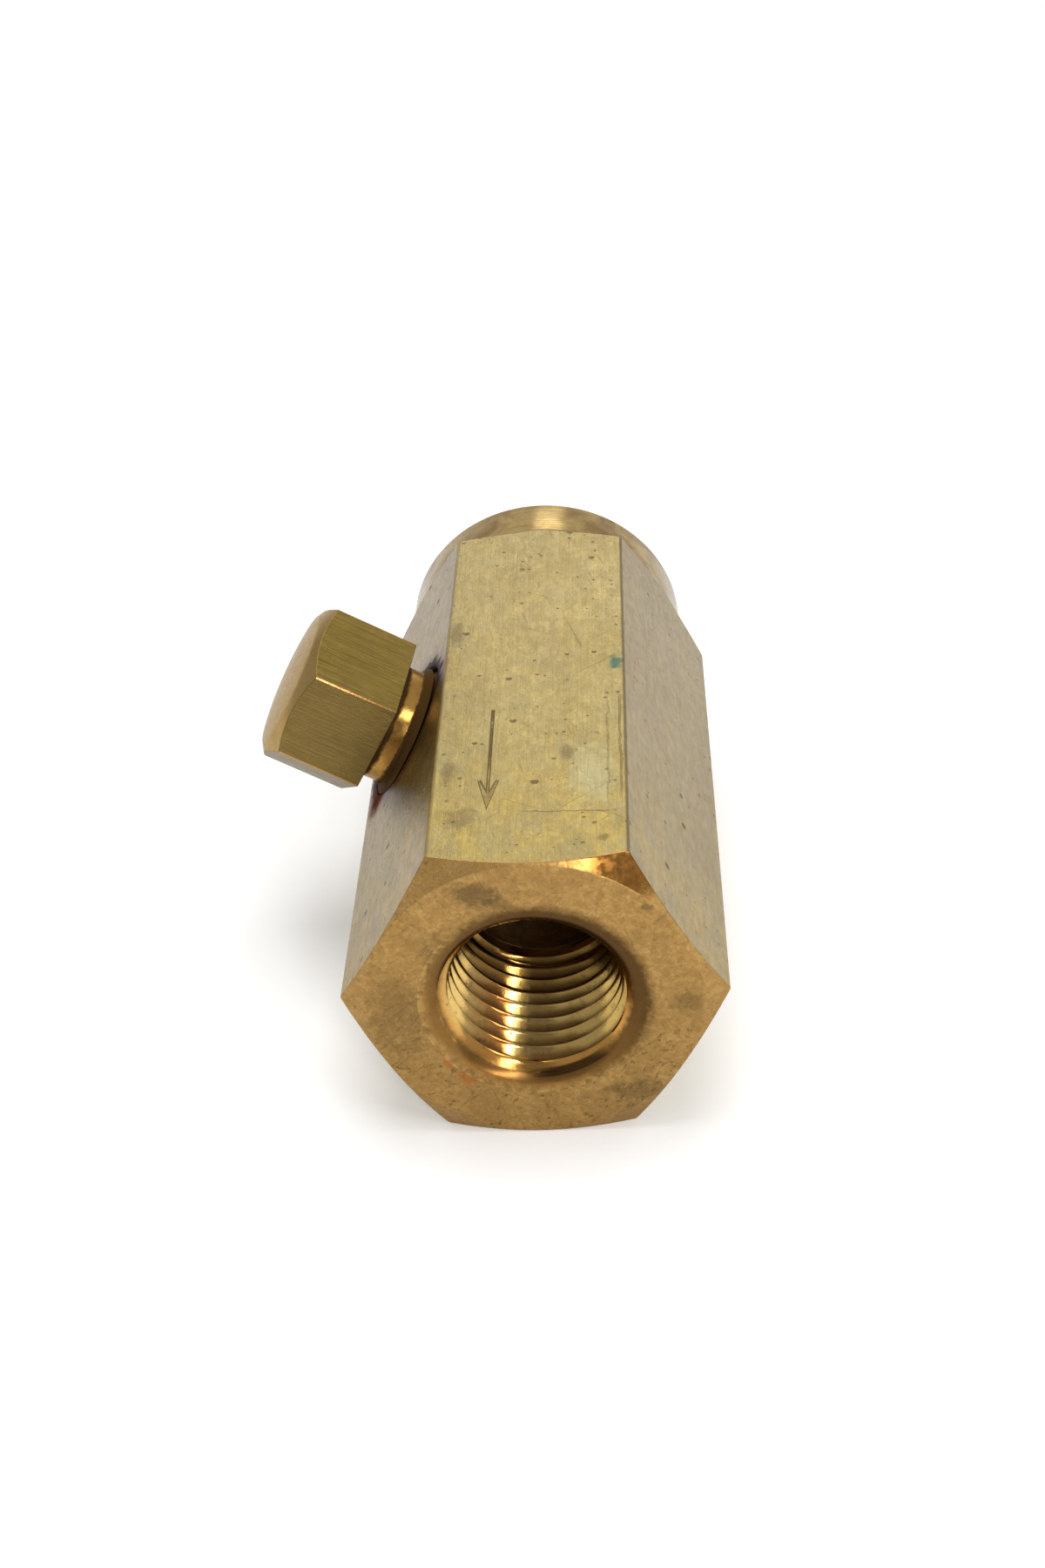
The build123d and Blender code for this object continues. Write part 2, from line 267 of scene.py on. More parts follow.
class Finishes(bpy.types.PropertyGroup):
    """Colours of the finishes."""

    bar_light: paint("Bar, clean", "Paler brass of the drawn flats", 188, 170, 114)
    bar_dark: paint("Bar, tarnished", "Olive tarnish on the drawn flats", 160, 141, 84)
    bar_haze: paint("Bar, haze", "Grey-green haze on the flats", 188, 181, 136)
    bar_warm: paint("Bar, golden", "Golden patches on the flats", 206, 176, 92)
    face_light: paint("End face, clean", "Golden tan of the turned outlet face", 180, 145, 86)
    face_dark: paint("End face, tarnished", "Brown tarnish of the outlet face", 138, 106, 60)
    corner: paint("End face, corners", "Brighter chamfered corners", 216, 176, 108)
    copper: paint("Rubbed corner", "Copper tone where a corner is rubbed", 142, 98, 46)
    # Soot also paints shade on the lower flats of the plug's head
    soot_and_shade: paint("Smudge", "Dark grime", 84, 68, 44)
    oil: paint("Oily residue", "Dark residue around the plug", 52, 40, 34)
    rust: paint("Rust drop", "Red-brown drop beside the plug", 110, 58, 30)
    verdigris: paint("Verdigris", "Green spot on the top flat", 60, 105, 85)
    thread: paint("Thread", "Bright cut thread", 220, 190, 118)
    # Besides tarnish, this colour paints shade on the right side of the port's thread
    thread_tarnish_and_shade: paint("Thread, dull", "Olive tarnish on one side of the thread", 164, 138, 76)
    # This dark olive paints shade along the thread and the plug's reflection on the flat, and tints the
    # wash round the plug
    olive_shade_and_stain: paint("Thread, dark", "Dark olive band along the thread and round the plug", 136, 106, 54)
    # The root colour paints blots, and grime with painted shade in the thread's roots
    root: paint("Thread roots", "Brown grime in the thread roots", 104, 74, 38)
    thread_stain: paint("Thread stain", "Red-brown stain in the thread", 156, 88, 36)
    cone: paint("Countersink", "Golden countersink of the port", 182, 130, 62)
    # The mouth colour paints dirt, the crescent of painted shade at each port's foot and painted shade
    # under the plug's head
    mouth: paint("Port mouth", "Dark brown dirt at the ports' mouths and on the plug's neck", 72, 50, 26)
    round_end: paint("Round end", "Glossy brass of the round inlet end", 194, 168, 108)
    # The bore colour also paints shade on the thread deep in each port
    bore: paint("Bore", "Dull brass inside the body", 140, 106, 52)
    plug: paint("Plug", "Olive brass of the plug's head", 134, 114, 54)
    plug_line: paint("Plug, lines", "Paler drawn lines on the plug's head", 160, 135, 70)
    plug_edge: paint("Plug, edges", "Copper tone of the plug's rubbed edges", 200, 148, 88)
    plug_top: paint("Plug, top", "Brighter brass of the plug's domed top", 168, 140, 88)
    neck: paint("Neck", "Polished neck of the plug", 186, 142, 70)
    steel: paint("Steel", "Spring and ring steel", 176, 174, 170)
    rubber: paint("Rubber", "Seat disc", 34, 33, 32)


class StageSizes(bpy.types.PropertyGroup):
    """The camera, the floor and the lights."""

    camera: FloatVectorProperty(
        name="Camera place",
        description="Where the camera stands",
        default=(6.633 * MM, -138.2 * MM, 102.02 * MM),
        subtype="XYZ",
        unit="LENGTH",
    )
    azimuth: FloatProperty(
        name="Camera turn", description="Turn from the bore", default=-0.058, unit="ROTATION"
    )
    elevation: FloatProperty(
        name="Camera dip", description="Dip below level", default=0.579, unit="ROTATION"
    )
    roll: FloatProperty(
        name="Camera roll", description="Roll about the line of sight", default=-0.06, unit="ROTATION"
    )
    lens: amount("Lens", "Focal length in millimetres, for a 36 mm sensor", 50.9535)
    floor: paint("Floor", "White sweep", 247, 247, 247)
    floor_lift: amount("Floor lift", "How far the floor is brightened for the eye, farther off", 0.35)
    near_lift: amount("Near lift", "How far the floor is brightened for the eye, beside the object", 0.15)
    room: amount("Room", "Brightness of the room all round", 0.62)
    shade: amount("Shade", "Brightness of the dark patch round the camera", 0.26)
    top_light: amount("Top panel", "Brightness of the overhead panel", 3.6)
    back_light: amount("Back panel", "Brightness of the panel behind the object", 1.8)
    strip_light: amount("Front strip", "Brightness of the strip beside the camera", 24.0)
    side_light: amount("Front side panel", "Brightness of the panel to the right of the camera", 6.0)


class Smudge(NamedTuple):
    """One soft patch, with its centre and reach in millimetres from the middle of the bore."""

    centre: tuple
    reach: tuple
    ragged: float
    strength: float = 1.0


# Patches on the flats
GREY_PATCH = Smudge((4.2, -15.3, 11.1), (1.9, 4.6, 9.0), 1.0, 0.6)
TOP_SMUDGES = (
    Smudge((2.5, -12.6, 11.1), (0.7, 1.3, 3.0), 0.7, 0.4),
    Smudge((-5.5, -14.6, 11.1), (0.7, 1.7, 3.0), 0.7, 0.4),
    Smudge((-4.4, -20.1, 11.1), (1.4, 1.9, 3.0), 0.7, 0.35),
    Smudge((4.85, -22.7, 11.1), (0.45, 0.6, 3.0), 0.7, 0.45),
    Smudge((-5.8, 4.0, 11.1), (0.7, 2.6, 3.0), 0.7, 0.4),
    Smudge((-1.4, 24.0, 11.1), (6.0, 4.0, 3.0), 0.7, 0.2),
)
GREEN_SPOT = Smudge((5.8, -0.8, 11.1), (0.65, 1.3, 2.0), 0.7, 0.85)
# Painted reflection of the dark plug in the flat round it
PLUG_SHADOW = Smudge((-8.2, -7.0, 8.0), (3.4, 9.0, 5.6), 0.4, 0.4)
RUST_DROP = Smudge((-11.8, -3.0, 1.7), (1.5, 3.0, 2.2), 0.3)

# Patches on the outlet face
FACE_SMUDGES = (
    Smudge((-3.4, -25.4, 8.8), (2.0, 3.0, 1.3), 0.8, 0.65),
    Smudge((-1.8, -25.4, 8.1), (1.3, 3.0, 0.7), 0.8, 0.5),
    Smudge((-6.3, -25.4, 4.2), (1.2, 3.0, 2.6), 0.8, 0.35),
    Smudge((10.0, -25.4, -0.2), (1.6, 3.0, 1.2), 0.8, 0.4),
    Smudge((6.6, -25.4, -7.6), (2.6, 3.0, 1.6), 0.8, 0.5),
    Smudge((7.5, -25.4, 7.5), (0.5, 3.0, 0.35), 0.8, 0.6),
    Smudge((-9.0, -25.4, -1.0), (2.6, 3.0, 4.5), 0.8, 0.35),
)
RED_STAINS = (
    Smudge((-5.8, -25.4, -4.6), (0.7, 3.0, 1.2), 0.6, 0.55),
    Smudge((-4.5, -25.4, -6.2), (1.3, 3.0, 0.8), 0.6, 0.55),
)
RUBBED_CORNER = Smudge((5.8, -24.9, 10.2), (5.0, 3.0, 3.2), 0.2)

# A dark spot of painted shade on the plug's neck
NECK_SHADE_SPOT = Smudge((-10.0, -4.1, 8.2), (1.2, 0.9, 1.0), 0.3, 0.8)

# Scratches, as turns of the place that they run along
FLAT_SCRATCHES = ((0, 0, 0.5), (0, 0, 1.3), (0, 0, 2.4))
FACE_SCRATCHES = ((0, 0.7, 0), (0, -0.5, 0), (0, 1.9, 0))

# Ring of dirt round a port's mouth: its outer radius at its lower left and upper right, its inner radius
# below and above, its strength at both sides, and the middle and half width of the crescent of painted
# shade at its foot
RING_OUTER = (7.8, 8.2)
RING_INNER = (6.1, 5.5)
RING_STRENGTH = (0.7, 0.9)
CRESCENT_SHADE = (6.4, 0.3)

# Residue round the plug, and the wash beyond it that is partly stain and partly the plug's painted
# reflection, as the distances from the plug's axis where each begins and where it is full
STAIN_AND_REFLECTION_WASH = (7.4, 5.6)
RESIDUE_RING = (6.2, 5.5)
RESIDUE_COUNTERSINK = (5.45, 5.25)

# Stripes along the port's thread, each as middle and half width across the bore: painted shade, the stripe
# where the lamp's highlight runs, kept clear of painted shade, and the stripe where painted shade reaches
# higher up the teeth
SHADE_STRIPE = (0.4, 2.4)
BRIGHT_STRIPE = (-1.6, 1.0)
WIDER_SHADE_STRIPE = (-0.6, 4.2)

# Depths in a port, measured from the middle of the body, where each begins and where it is full
COUNTERSINK_GOLD = (23.9, 24.4)
ROOT_GRIME_AND_SHADE = (24.8, 24.2)
DEEP_BORE_SHADE = (18.5, 14.5)

# Lines that a stamping die's edge left on the top flat: middle and half width
DIE_RIGHT = (6.05, 0.09)
DIE_INNER = (5.2, 0.07)
DIE_FOOT = (-19.6, 0.12)
DIE_RUN = (-11.8, 8.0)
DIE_WIDTH = (2.6, 3.6)

# Share of a line's half width that has full strength
LINE_CORE = 0.6

# Directions
SIDEWAYS = (1, 0, 0)
LENGTHWISE = (0, 1, 0)
UPRIGHT = (0, 0, 1)
UPPER_RIGHT = (0.7, 0, 0.7)
RING_FOOT = (0.36, 0, -0.93)


class Wiring:
    """Adds nodes to one node tree and joins them."""

    def __init__(self, tree):
        self.tree = tree

    def feed(self, socket, value):
        """Links a value to a socket, or sets it there."""
        if isinstance(value, bpy.types.NodeSocket):
            self.tree.links.new(value, socket)
        elif hasattr(value, "__len__"):
            socket.default_value = tuple(value)
        else:
            socket.default_value = value

    def add(self, kind, inputs=(), **details):
        """Adds a node with these details and inputs."""
        made = self.tree.nodes.new(kind)
        for name, value in details.items():
            setattr(made, name, value)
        for key, value in dict(inputs).items():
            self.feed(made.inputs[key], value)
        return made

    def place(self):
        """Object coordinates in millimetres from the middle of the bore."""
        there = self.add("ShaderNodeTexCoord").outputs["Object"]
        to_axis = (0, 0, -axis_height() / MM)
        return self.add(
            "ShaderNodeMapping", {"Vector": there, "Location": to_axis, "Scale": (1 / MM,) * 3}
        ).outputs[0]

    def stretch(self, place, scale, turned=(0, 0, 0)):
        return self.add(
            "ShaderNodeMapping", {"Vector": place, "Scale": scale, "Rotation": turned}
        ).outputs[0]

    def slant(self, place, turned, scale):
        """The place turned first and then stretched, for a pattern along a slanted direction."""
        return self.stretch(self.stretch(place, (1, 1, 1), turned), scale)

    def math(self, operation, *values):
        return self.add("ShaderNodeMath", enumerate(values), operation=operation).outputs[0]

    def chain(self, operation, first, *others):
        """One operation over several values, from left to right."""
        for other in others:
            first = self.math(operation, first, other)
        return first

    def times(self, *values):
        return self.chain("MULTIPLY", *values)

    def plus(self, *values):
        return self.chain("ADD", *values)

    def most(self, *values):
        return self.chain("MAXIMUM", *values)

    def without(self, mask):
        return self.math("SUBTRACT", 1.0, mask)

    def vector(self, operation, *values):
        made = self.add("ShaderNodeVectorMath", enumerate(values), operation=operation)
        single = operation in ("LENGTH", "DOT_PRODUCT")
        return made.outputs["Value" if single else "Vector"]

    def along(self, place, direction):
        """How far a place lies in one direction."""
        return self.vector("DOT_PRODUCT", place, direction)

    def radius(self, place):
        """Distance from the bore's axis."""
        return self.vector("LENGTH", self.vector("MULTIPLY", place, (1, 0, 1)))

    def fade(self, value, low, high):
        """0 up to low, 1 from high on, and smooth between them."""
        return self.add(
            "ShaderNodeMapRange",
            {"Value": value, "From Min": low, "From Max": high},
            interpolation_type="SMOOTHSTEP",
        ).outputs["Result"]

    def span(self, mask, low, high):
        """A mask from 0 to 1 spread from low to high."""
        return self.add(
            "ShaderNodeMapRange", {"Value": mask, "To Min": low, "To Max": high}
        ).outputs["Result"]

    def line(self, value, middle, reach):
        """A mask round one middle value, with soft sides."""
        away = self.math("ABSOLUTE", self.math("SUBTRACT", value, middle))
        return self.fade(away, reach, reach * LINE_CORE)

    def noise(self, place, scale, detail, rough, distortion=0.0):
        pattern = {"Scale": scale, "Detail": detail, "Roughness": rough, "Distortion": distortion}
        return self.add("ShaderNodeTexNoise", {"Vector": place, **pattern}).outputs[0]

    def uneven(self, place, scale, detail, rough, width):
        """Noise that swings about zero, this wide from end to end."""
        return self.times(self.math("SUBTRACT", self.noise(place, scale, detail, rough), 0.5), width)

    def group(self, name, **inputs):
        """Places a shared effect with its own values."""
        made = self.add("ShaderNodeGroup", node_tree=bpy.data.node_groups[name])
        for key, value in inputs.items():
            self.feed(made.inputs[key], value)
        return made.outputs[0]

    def smudge(self, place, patch):
        """The mask of one patch, at its strength."""
        mask = self.group(
            "smudge", Place=place, Centre=patch.centre, Reach=patch.reach, Ragged=patch.ragged
        )
        return self.times(mask, patch.strength)

    def scratches(self, place, turns, scale, fineness, share):
        """Scratches that run several ways."""
        ways = [self.slant(place, turned, scale) for turned in turns]
        values = {"Fineness": fineness, "Share": share}
        return self.most(*(self.group("scratches", Place=way, **values) for way in ways))

    def mix(self, mask, first, second):
        """The second colour over the first, through the colour sockets of a mix node."""
        made = self.add("ShaderNodeMix", data_type="RGBA")
        for index, value in ((0, mask), (6, first), (7, second)):
            self.feed(made.inputs[index], value)
        return made.outputs[2]

    def layers(self, colour, *coats):
        """Lays coats over a colour, each given as its own colour and the masks that it keeps to."""
        for coat, *masks in coats:
            colour = self.mix(self.times(*masks), colour, coat)
        return colour

    def relief(self, *steps):
        """Adds up heights, each given as its mask and its rise in millimetres."""
        height = 0.0
        for mask, rise in steps:
            height = self.math("MULTIPLY_ADD", mask, rise, height)
        return height


class Finish(Wiring):
    """A material whose shader holds the even values and gets the others from nodes."""

    def __init__(self, name, **even):
        self.material = bpy.data.materials.new(name)
        self.material.use_nodes = True
        super().__init__(self.material.node_tree)
        self.shader = self.tree.nodes["Principled BSDF"].inputs
        for key, value in even.items():
            self.shader[key.replace("_", " ")].default_value = value

    def dress(self, height=None, **varied):
        """Feeds the shader, with its normal from a height in millimetres, and gives the material."""
        for key, value in varied.items():
            self.feed(self.shader[key.replace("_", " ")], value)
        if height is not None:
            bump = self.add("ShaderNodeBump", {"Height": height, "Distance": MM, "Strength": 1.0})
            self.feed(self.shader["Normal"], bump.outputs[0])
        return self.material


def axis_height():
    return bpy.context.scene.valve_body.across_flats / 2


def new_group(name, **inputs):
    """A shader node group with these inputs and a mask as its output, with its wiring."""
    tree = bpy.data.node_groups.new(name, "ShaderNodeTree")
    for key, value in inputs.items():
        spread = value is Vector or isinstance(value, tuple)
        kind = "NodeSocketVector" if spread else "NodeSocketFloat"
        socket = tree.interface.new_socket(key, in_out="INPUT", socket_type=kind)
        if value is not Vector:
            socket.default_value = value
    tree.interface.new_socket("Mask", in_out="OUTPUT", socket_type="NodeSocketFloat")
    wiring = Wiring(tree)
    start = wiring.add("NodeGroupInput")
    end = wiring.add("NodeGroupOutput")
    return wiring, start.outputs, end.inputs[0]


def make_effects():
    """The effects that several finishes share."""
    # Cloudy tarnish: broad patches broken up by finer ones
    net, given, out = new_group("tarnish", Place=Vector, Size=4.0, Sharpness=0.18)
    scale = net.math("DIVIDE", 1.0, given["Size"])
    low = net.math("SUBTRACT", 0.5, given["Sharpness"])
    high = net.plus(0.5, given["Sharpness"])
    clouds = net.noise(given["Place"], scale=scale, detail=5.0, rough=0.62, distortion=0.4)
    net.feed(out, net.fade(clouds, low, high))

    # Pinholes: small dark specks, of which only some are kept
    net, given, out = new_group("pinholes", Place=Vector, Spacing=1.2, Size=0.12, Share=0.5)
    scale = net.math("DIVIDE", 1.0, given["Spacing"])
    cells = net.add("ShaderNodeTexVoronoi", {"Vector": given["Place"], "Scale": scale}).outputs
    pick = net.add("ShaderNodeSeparateColor", {"Color": cells["Color"]}).outputs
    reach = net.math("DIVIDE", given["Size"], given["Spacing"])
    wide = net.times(reach, net.plus(pick[1], 0.35))
    kept = net.math("LESS_THAN", pick[0], given["Share"])
    spot = net.fade(cells["Distance"], wide, net.times(wide, 0.45))
    net.feed(out, net.times(spot, kept))

    # Drawn lines: fine uneven lines along the stretched direction of the place
    net, given, out = new_group("drawn lines", Place=Vector, Fineness=6.0)
    fine = net.noise(given["Place"], scale=given["Fineness"], detail=3.0, rough=0.7)
    net.feed(out, net.fade(fine, 0.32, 0.68))

    # Scratches: sparse thin lines along the stretched direction of the place
    net, given, out = new_group("scratches", Place=Vector, Fineness=2.0, Share=0.3)
    start = net.math("SUBTRACT", 0.74, net.times(given["Share"], 0.2))
    streaks = net.noise(given["Place"], scale=given["Fineness"], detail=1.0, rough=0.4)
    net.feed(out, net.fade(streaks, start, net.plus(start, 0.04)))

    # Smudge: one soft patch with a ragged edge
    net, given, out = new_group(
        "smudge", Place=Vector, Centre=Vector, Reach=(1.0, 1.0, 1.0), Ragged=0.5
    )
    offset = net.vector("SUBTRACT", given["Place"], given["Centre"])
    away = net.vector("DIVIDE", offset, given["Reach"])
    uneven = net.uneven(given["Place"], scale=1.6, detail=4.0, rough=0.65, width=2.0)
    edge = net.plus(net.vector("LENGTH", away), net.times(uneven, given["Ragged"]))
    net.feed(out, net.fade(edge, 1.0, 0.35))

    # Port ring: dirt round a port's mouth, darker at the upper right, with a crescent of painted shade at
    # its foot
    net, given, out = new_group("port ring", Place=Vector)
    place = given["Place"]
    radius = net.radius(place)
    ragged = net.plus(radius, net.uneven(place, scale=1.1, detail=5.0, rough=0.65, width=0.7))
    to_right = net.fade(net.along(place, UPPER_RIGHT), -5.0, 6.0)
    outer = net.span(to_right, *RING_OUTER)
    inner = net.span(net.fade(net.along(place, UPRIGHT), 2.0, 4.5), *RING_INNER)
    from_inner = net.fade(ragged, inner, net.plus(inner, 0.4))
    to_outer = net.fade(ragged, outer, net.math("SUBTRACT", outer, 1.0))
    band = net.times(from_inner, to_outer, net.span(to_right, *RING_STRENGTH))
    at_foot = net.fade(net.along(place, RING_FOOT), 5.3, 6.2)
    crescent_shade = net.times(net.line(radius, *CRESCENT_SHADE), at_foot)
    at_mouth = net.fade(net.math("ABSOLUTE", net.along(place, LENGTHWISE)), 24.0, 24.7)
    net.feed(out, net.times(net.most(band, crescent_shade), at_mouth))


def die_lines(net, place):
    """Faint lines that the edge of a stamping die left beside the arrow."""
    wobble = net.uneven(place, scale=0.7, detail=3.0, rough=0.6, width=0.5)
    sideways = net.along(place, SIDEWAYS)
    lengthwise = net.along(place, LENGTHWISE)
    across = net.plus(sideways, wobble)
    sides = net.most(net.line(across, *DIE_RIGHT), net.times(net.line(across, *DIE_INNER), 0.6))
    sides = net.times(sides, net.line(lengthwise, *DIE_RUN))
    foot = net.line(net.plus(lengthwise, wobble), *DIE_FOOT)
    foot = net.times(foot, net.line(sideways, *DIE_WIDTH))
    return net.most(sides, foot)


def arrow_dirt(net, place):
    """Dirt in the sunk strokes of the arrow, thickest in its shaft."""
    sunk = net.fade(net.along(place, UPRIGHT), 11.09, 11.04)
    beside = net.line(net.along(place, SIDEWAYS), -2.7, 2.0)
    shaft = net.span(net.fade(net.along(place, LENGTHWISE), -15.0, -12.0), 0.3, 0.7)
    patchy = net.fade(net.noise(place, scale=0.9, detail=3.0, rough=0.6), 0.36, 0.5)
    return net.times(sunk, beside, shaft, patchy)


def plug_residue(net, place, plug):
    """Masks of the oily ring round the plug, the wash beyond it, partly stain and partly the plug's painted
    reflection, and the dark countersink inside it.
    """
    out = plug_direction(plug)
    from_plug = net.vector("SUBTRACT", place, (0, plug.along / MM, 0))
    outwards = net.vector("MULTIPLY", net.along(from_plug, out), out)
    across = net.vector("LENGTH", net.vector("SUBTRACT", from_plug, outwards))
    ragged = net.plus(across, net.uneven(place, scale=1.0, detail=4.0, rough=0.6, width=2.2))
    outside = net.fade(net.along(place, out), 9.5, 10.8)
    behind = net.without(net.fade(net.along(place, LENGTHWISE), -2.4, -4.6))
    ring = net.times(net.fade(ragged, *RESIDUE_RING), outside, behind, 0.8)
    stain_and_reflection = net.times(net.fade(ragged, *STAIN_AND_REFLECTION_WASH), outside)
    countersink = net.times(net.fade(across, *RESIDUE_COUNTERSINK), outside)
    return ring, stain_and_reflection, countersink


def flat_finish(colours, plug):
    """Drawn brass flats: soft tarnish, lengthwise lines, scratches, specks, smudges, residue and the plug's
    painted reflection beside it.
    """
    net = Finish(
        "drawn_brass", Metallic=1.0, Specular_Tint=(0.66, 0.68, 0.83, 1), Specular_IOR_Level=0.0
    )
    place = net.place()
    upright = net.along(place, UPRIGHT)
    drawn = net.stretch(place, (1, 0.5, 1))
    rolled = net.stretch(place, (1, 0.6, 1))
    clouds = net.group("tarnish", Place=drawn, Size=4.0, Sharpness=0.2)
    warm = net.group("tarnish", Place=rolled, Size=1.7, Sharpness=0.12)
    mottle = net.group("tarnish", Place=drawn, Size=0.6, Sharpness=0.22)
    grain = net.group("tarnish", Place=rolled, Size=0.22, Sharpness=0.14)
    lines = net.group("drawn lines", Place=net.stretch(place, (2.2, 0.04, 2.2)), Fineness=4.0)
    flecks = net.group("drawn lines", Place=net.stretch(place, (3.0, 0.3, 3.0)), Fineness=2.0)
    specks = net.group("pinholes", Place=place, Spacing=0.7, Size=0.14, Share=0.5)
    pits = net.group("pinholes", Place=place, Spacing=2.0, Size=0.28, Share=0.45)
    scratches = net.scratches(place, FLAT_SCRATCHES, scale=(0.12, 3.0, 3.0), fineness=1.4, share=0.0)
    golden_end = net.span(net.fade(net.along(place, LENGTHWISE), -10.0, -21.0), 0.35, 0.95)
    on_top = net.fade(upright, 10.7, 10.8)
    die = net.times(die_lines(net, place), on_top)
    caked = net.times(arrow_dirt(net, place), on_top)
    right_edge = net.line(net.along(place, SIDEWAYS), 6.4, 0.12)
    right_edge = net.times(right_edge, net.fade(upright, 10.6, 10.9))
    shares = ((specks, 0.55), (pits, 0.65), (die, 0.35), (scratches, 0.15), (right_edge, 0.4))
    dirt = net.most(*(net.times(mask, share) for mask, share in shares), caked)
    ring, stain_and_reflection, countersink = plug_residue(net, place, plug)
    drop = net.smudge(place, RUST_DROP)
    residue = net.most(ring, drop)
    colour = net.layers(
        colours.bar_light,
        (colours.bar_dark, clouds, 0.65),
        (colours.bar_warm, warm, golden_end),
        (colours.bar_dark, mottle, 0.55),
        (colours.bar_dark, grain, 0.35),
        (colours.bar_haze, net.smudge(place, GREY_PATCH)),
        (colours.face_dark, lines, 0.2),
        (colours.bar_haze, flecks, 0.18),
        *((colours.soot_and_shade, net.smudge(place, patch)) for patch in TOP_SMUDGES),
        (colours.soot_and_shade, dirt),
        (colours.verdigris, net.smudge(place, GREEN_SPOT)),
        # The plug's painted reflection: the wash round it, partly stain, and the patch beside it
        (colours.olive_shade_and_stain, stain_and_reflection, 0.7),
        (colours.olive_shade_and_stain, net.smudge(place, PLUG_SHADOW)),
        (colours.mouth, countersink),
        (colours.oil, ring),
        (colours.rust, drop),
    )
    height = net.relief(
        (lines, 0.005),
        (grain, 0.007),
        (mottle, 0.012),
        (specks, -0.02),
        (pits, -0.05),
        (die, -0.02),
        (scratches, -0.01),
        (residue, 0.03),
    )
    return net.dress(
        height,
        Base_Color=colour,
        Roughness=net.plus(net.span(mottle, 0.3, 0.4), net.times(dirt, 0.2)),
        Metallic=net.without(net.most(net.times(residue, 0.95), net.times(caked, 0.5))),
    )


def face_finish(colours):
    """Turned outlet face: golden tan, specked, with smudges, a dark stain round the port and a crescent of
    painted shade at the port's foot.
    """
    net = Finish("turned_brass", Metallic=1.0, Specular_Tint=(0.8, 0.78, 0.75, 1))
    place = net.place()
    radius = net.radius(place)
    clouds = net.group("tarnish", Place=place, Size=2.8, Sharpness=0.26)
    mottle = net.group("tarnish", Place=place, Size=0.5, Sharpness=0.14)
    grain = net.group("tarnish", Place=place, Size=0.22, Sharpness=0.16)
    turned = net.slant(place, (0, 0.7, 0), (0.6, 1, 1))
    lower = net.span(net.fade(net.along(place, UPRIGHT), 3.0, -6.0), 0.4, 1.0)
    specks = net.fade(net.noise(turned, scale=3.2, detail=4.0, rough=0.75), 0.57, 0.66)
    specks = net.times(specks, lower)
    pits = net.group("pinholes", Place=place, Spacing=2.2, Size=0.2, Share=0.3)
    by_radius = net.add("ShaderNodeCombineXYZ", {"X": radius}).outputs[0]
    rings = net.noise(by_radius, scale=5.0, detail=3.0, rough=0.7)
    scratches = net.scratches(place, FACE_SCRATCHES, scale=(0.15, 3.0, 3.0), fineness=1.6, share=0.15)
    chamfer = net.fade(radius, 10.95, 11.1)
    rubbed = net.times(net.smudge(place, RUBBED_CORNER), chamfer)
    whole = net.without(rubbed)
    dirt = net.most(net.times(specks, 0.7), net.times(pits, 0.6), net.times(scratches, 0.2))
    colour = net.layers(
        colours.face_light,
        (colours.face_dark, clouds, 0.7),
        (colours.face_dark, mottle, 0.5),
        (colours.face_dark, grain, 0.6),
        *((colours.soot_and_shade, net.smudge(place, patch)) for patch in FACE_SMUDGES),
        (colours.mouth, net.group("port ring", Place=place)),
        *((colours.thread_stain, net.smudge(place, patch)) for patch in RED_STAINS),
        (colours.corner, chamfer, 0.1),
        (colours.soot_and_shade, dirt, whole),
        (colours.copper, rubbed),
    )
    height = net.relief(
        (rings, 0.006),
        (grain, 0.006),
        (mottle, 0.008),
        (specks, -0.015),
        (pits, -0.04),
        (scratches, -0.01),
    )
    rough = net.math("SUBTRACT", net.span(mottle, 0.38, 0.5), net.times(rubbed, 0.27))
    return net.dress(net.times(height, whole), Base_Color=colour, Roughness=rough)


def round_end_finish(colours):
    """Turned round end and its cone: cleaner, glossier brass with faint turning rings."""
    net = Finish("glossy_turned_brass", Metallic=1.0, Specular_Tint=(0.66, 0.65, 0.62, 1))
    place = net.place()
    clouds = net.group("tarnish", Place=place, Size=3.0, Sharpness=0.2)
    rings = net.group("drawn lines", Place=net.stretch(place, (0.05, 2.0, 0.05)), Fineness=3.0)
    specks = net.group("pinholes", Place=place, Spacing=1.4, Size=0.16, Share=0.4)
    colour = net.layers(
        colours.round_end,
        (colours.face_dark, clouds),
        (colours.face_dark, rings, 0.3),
        (colours.soot_and_shade, specks, 0.6),
        # Dirt round the far port, with its crescent of painted shade
        (colours.mouth, net.group("port ring", Place=place)),
    )
    height = net.relief((rings, 0.004), (specks, -0.02))
    return net.dress(height, Base_Color=colour, Roughness=net.span(clouds, 0.13, 0.2))


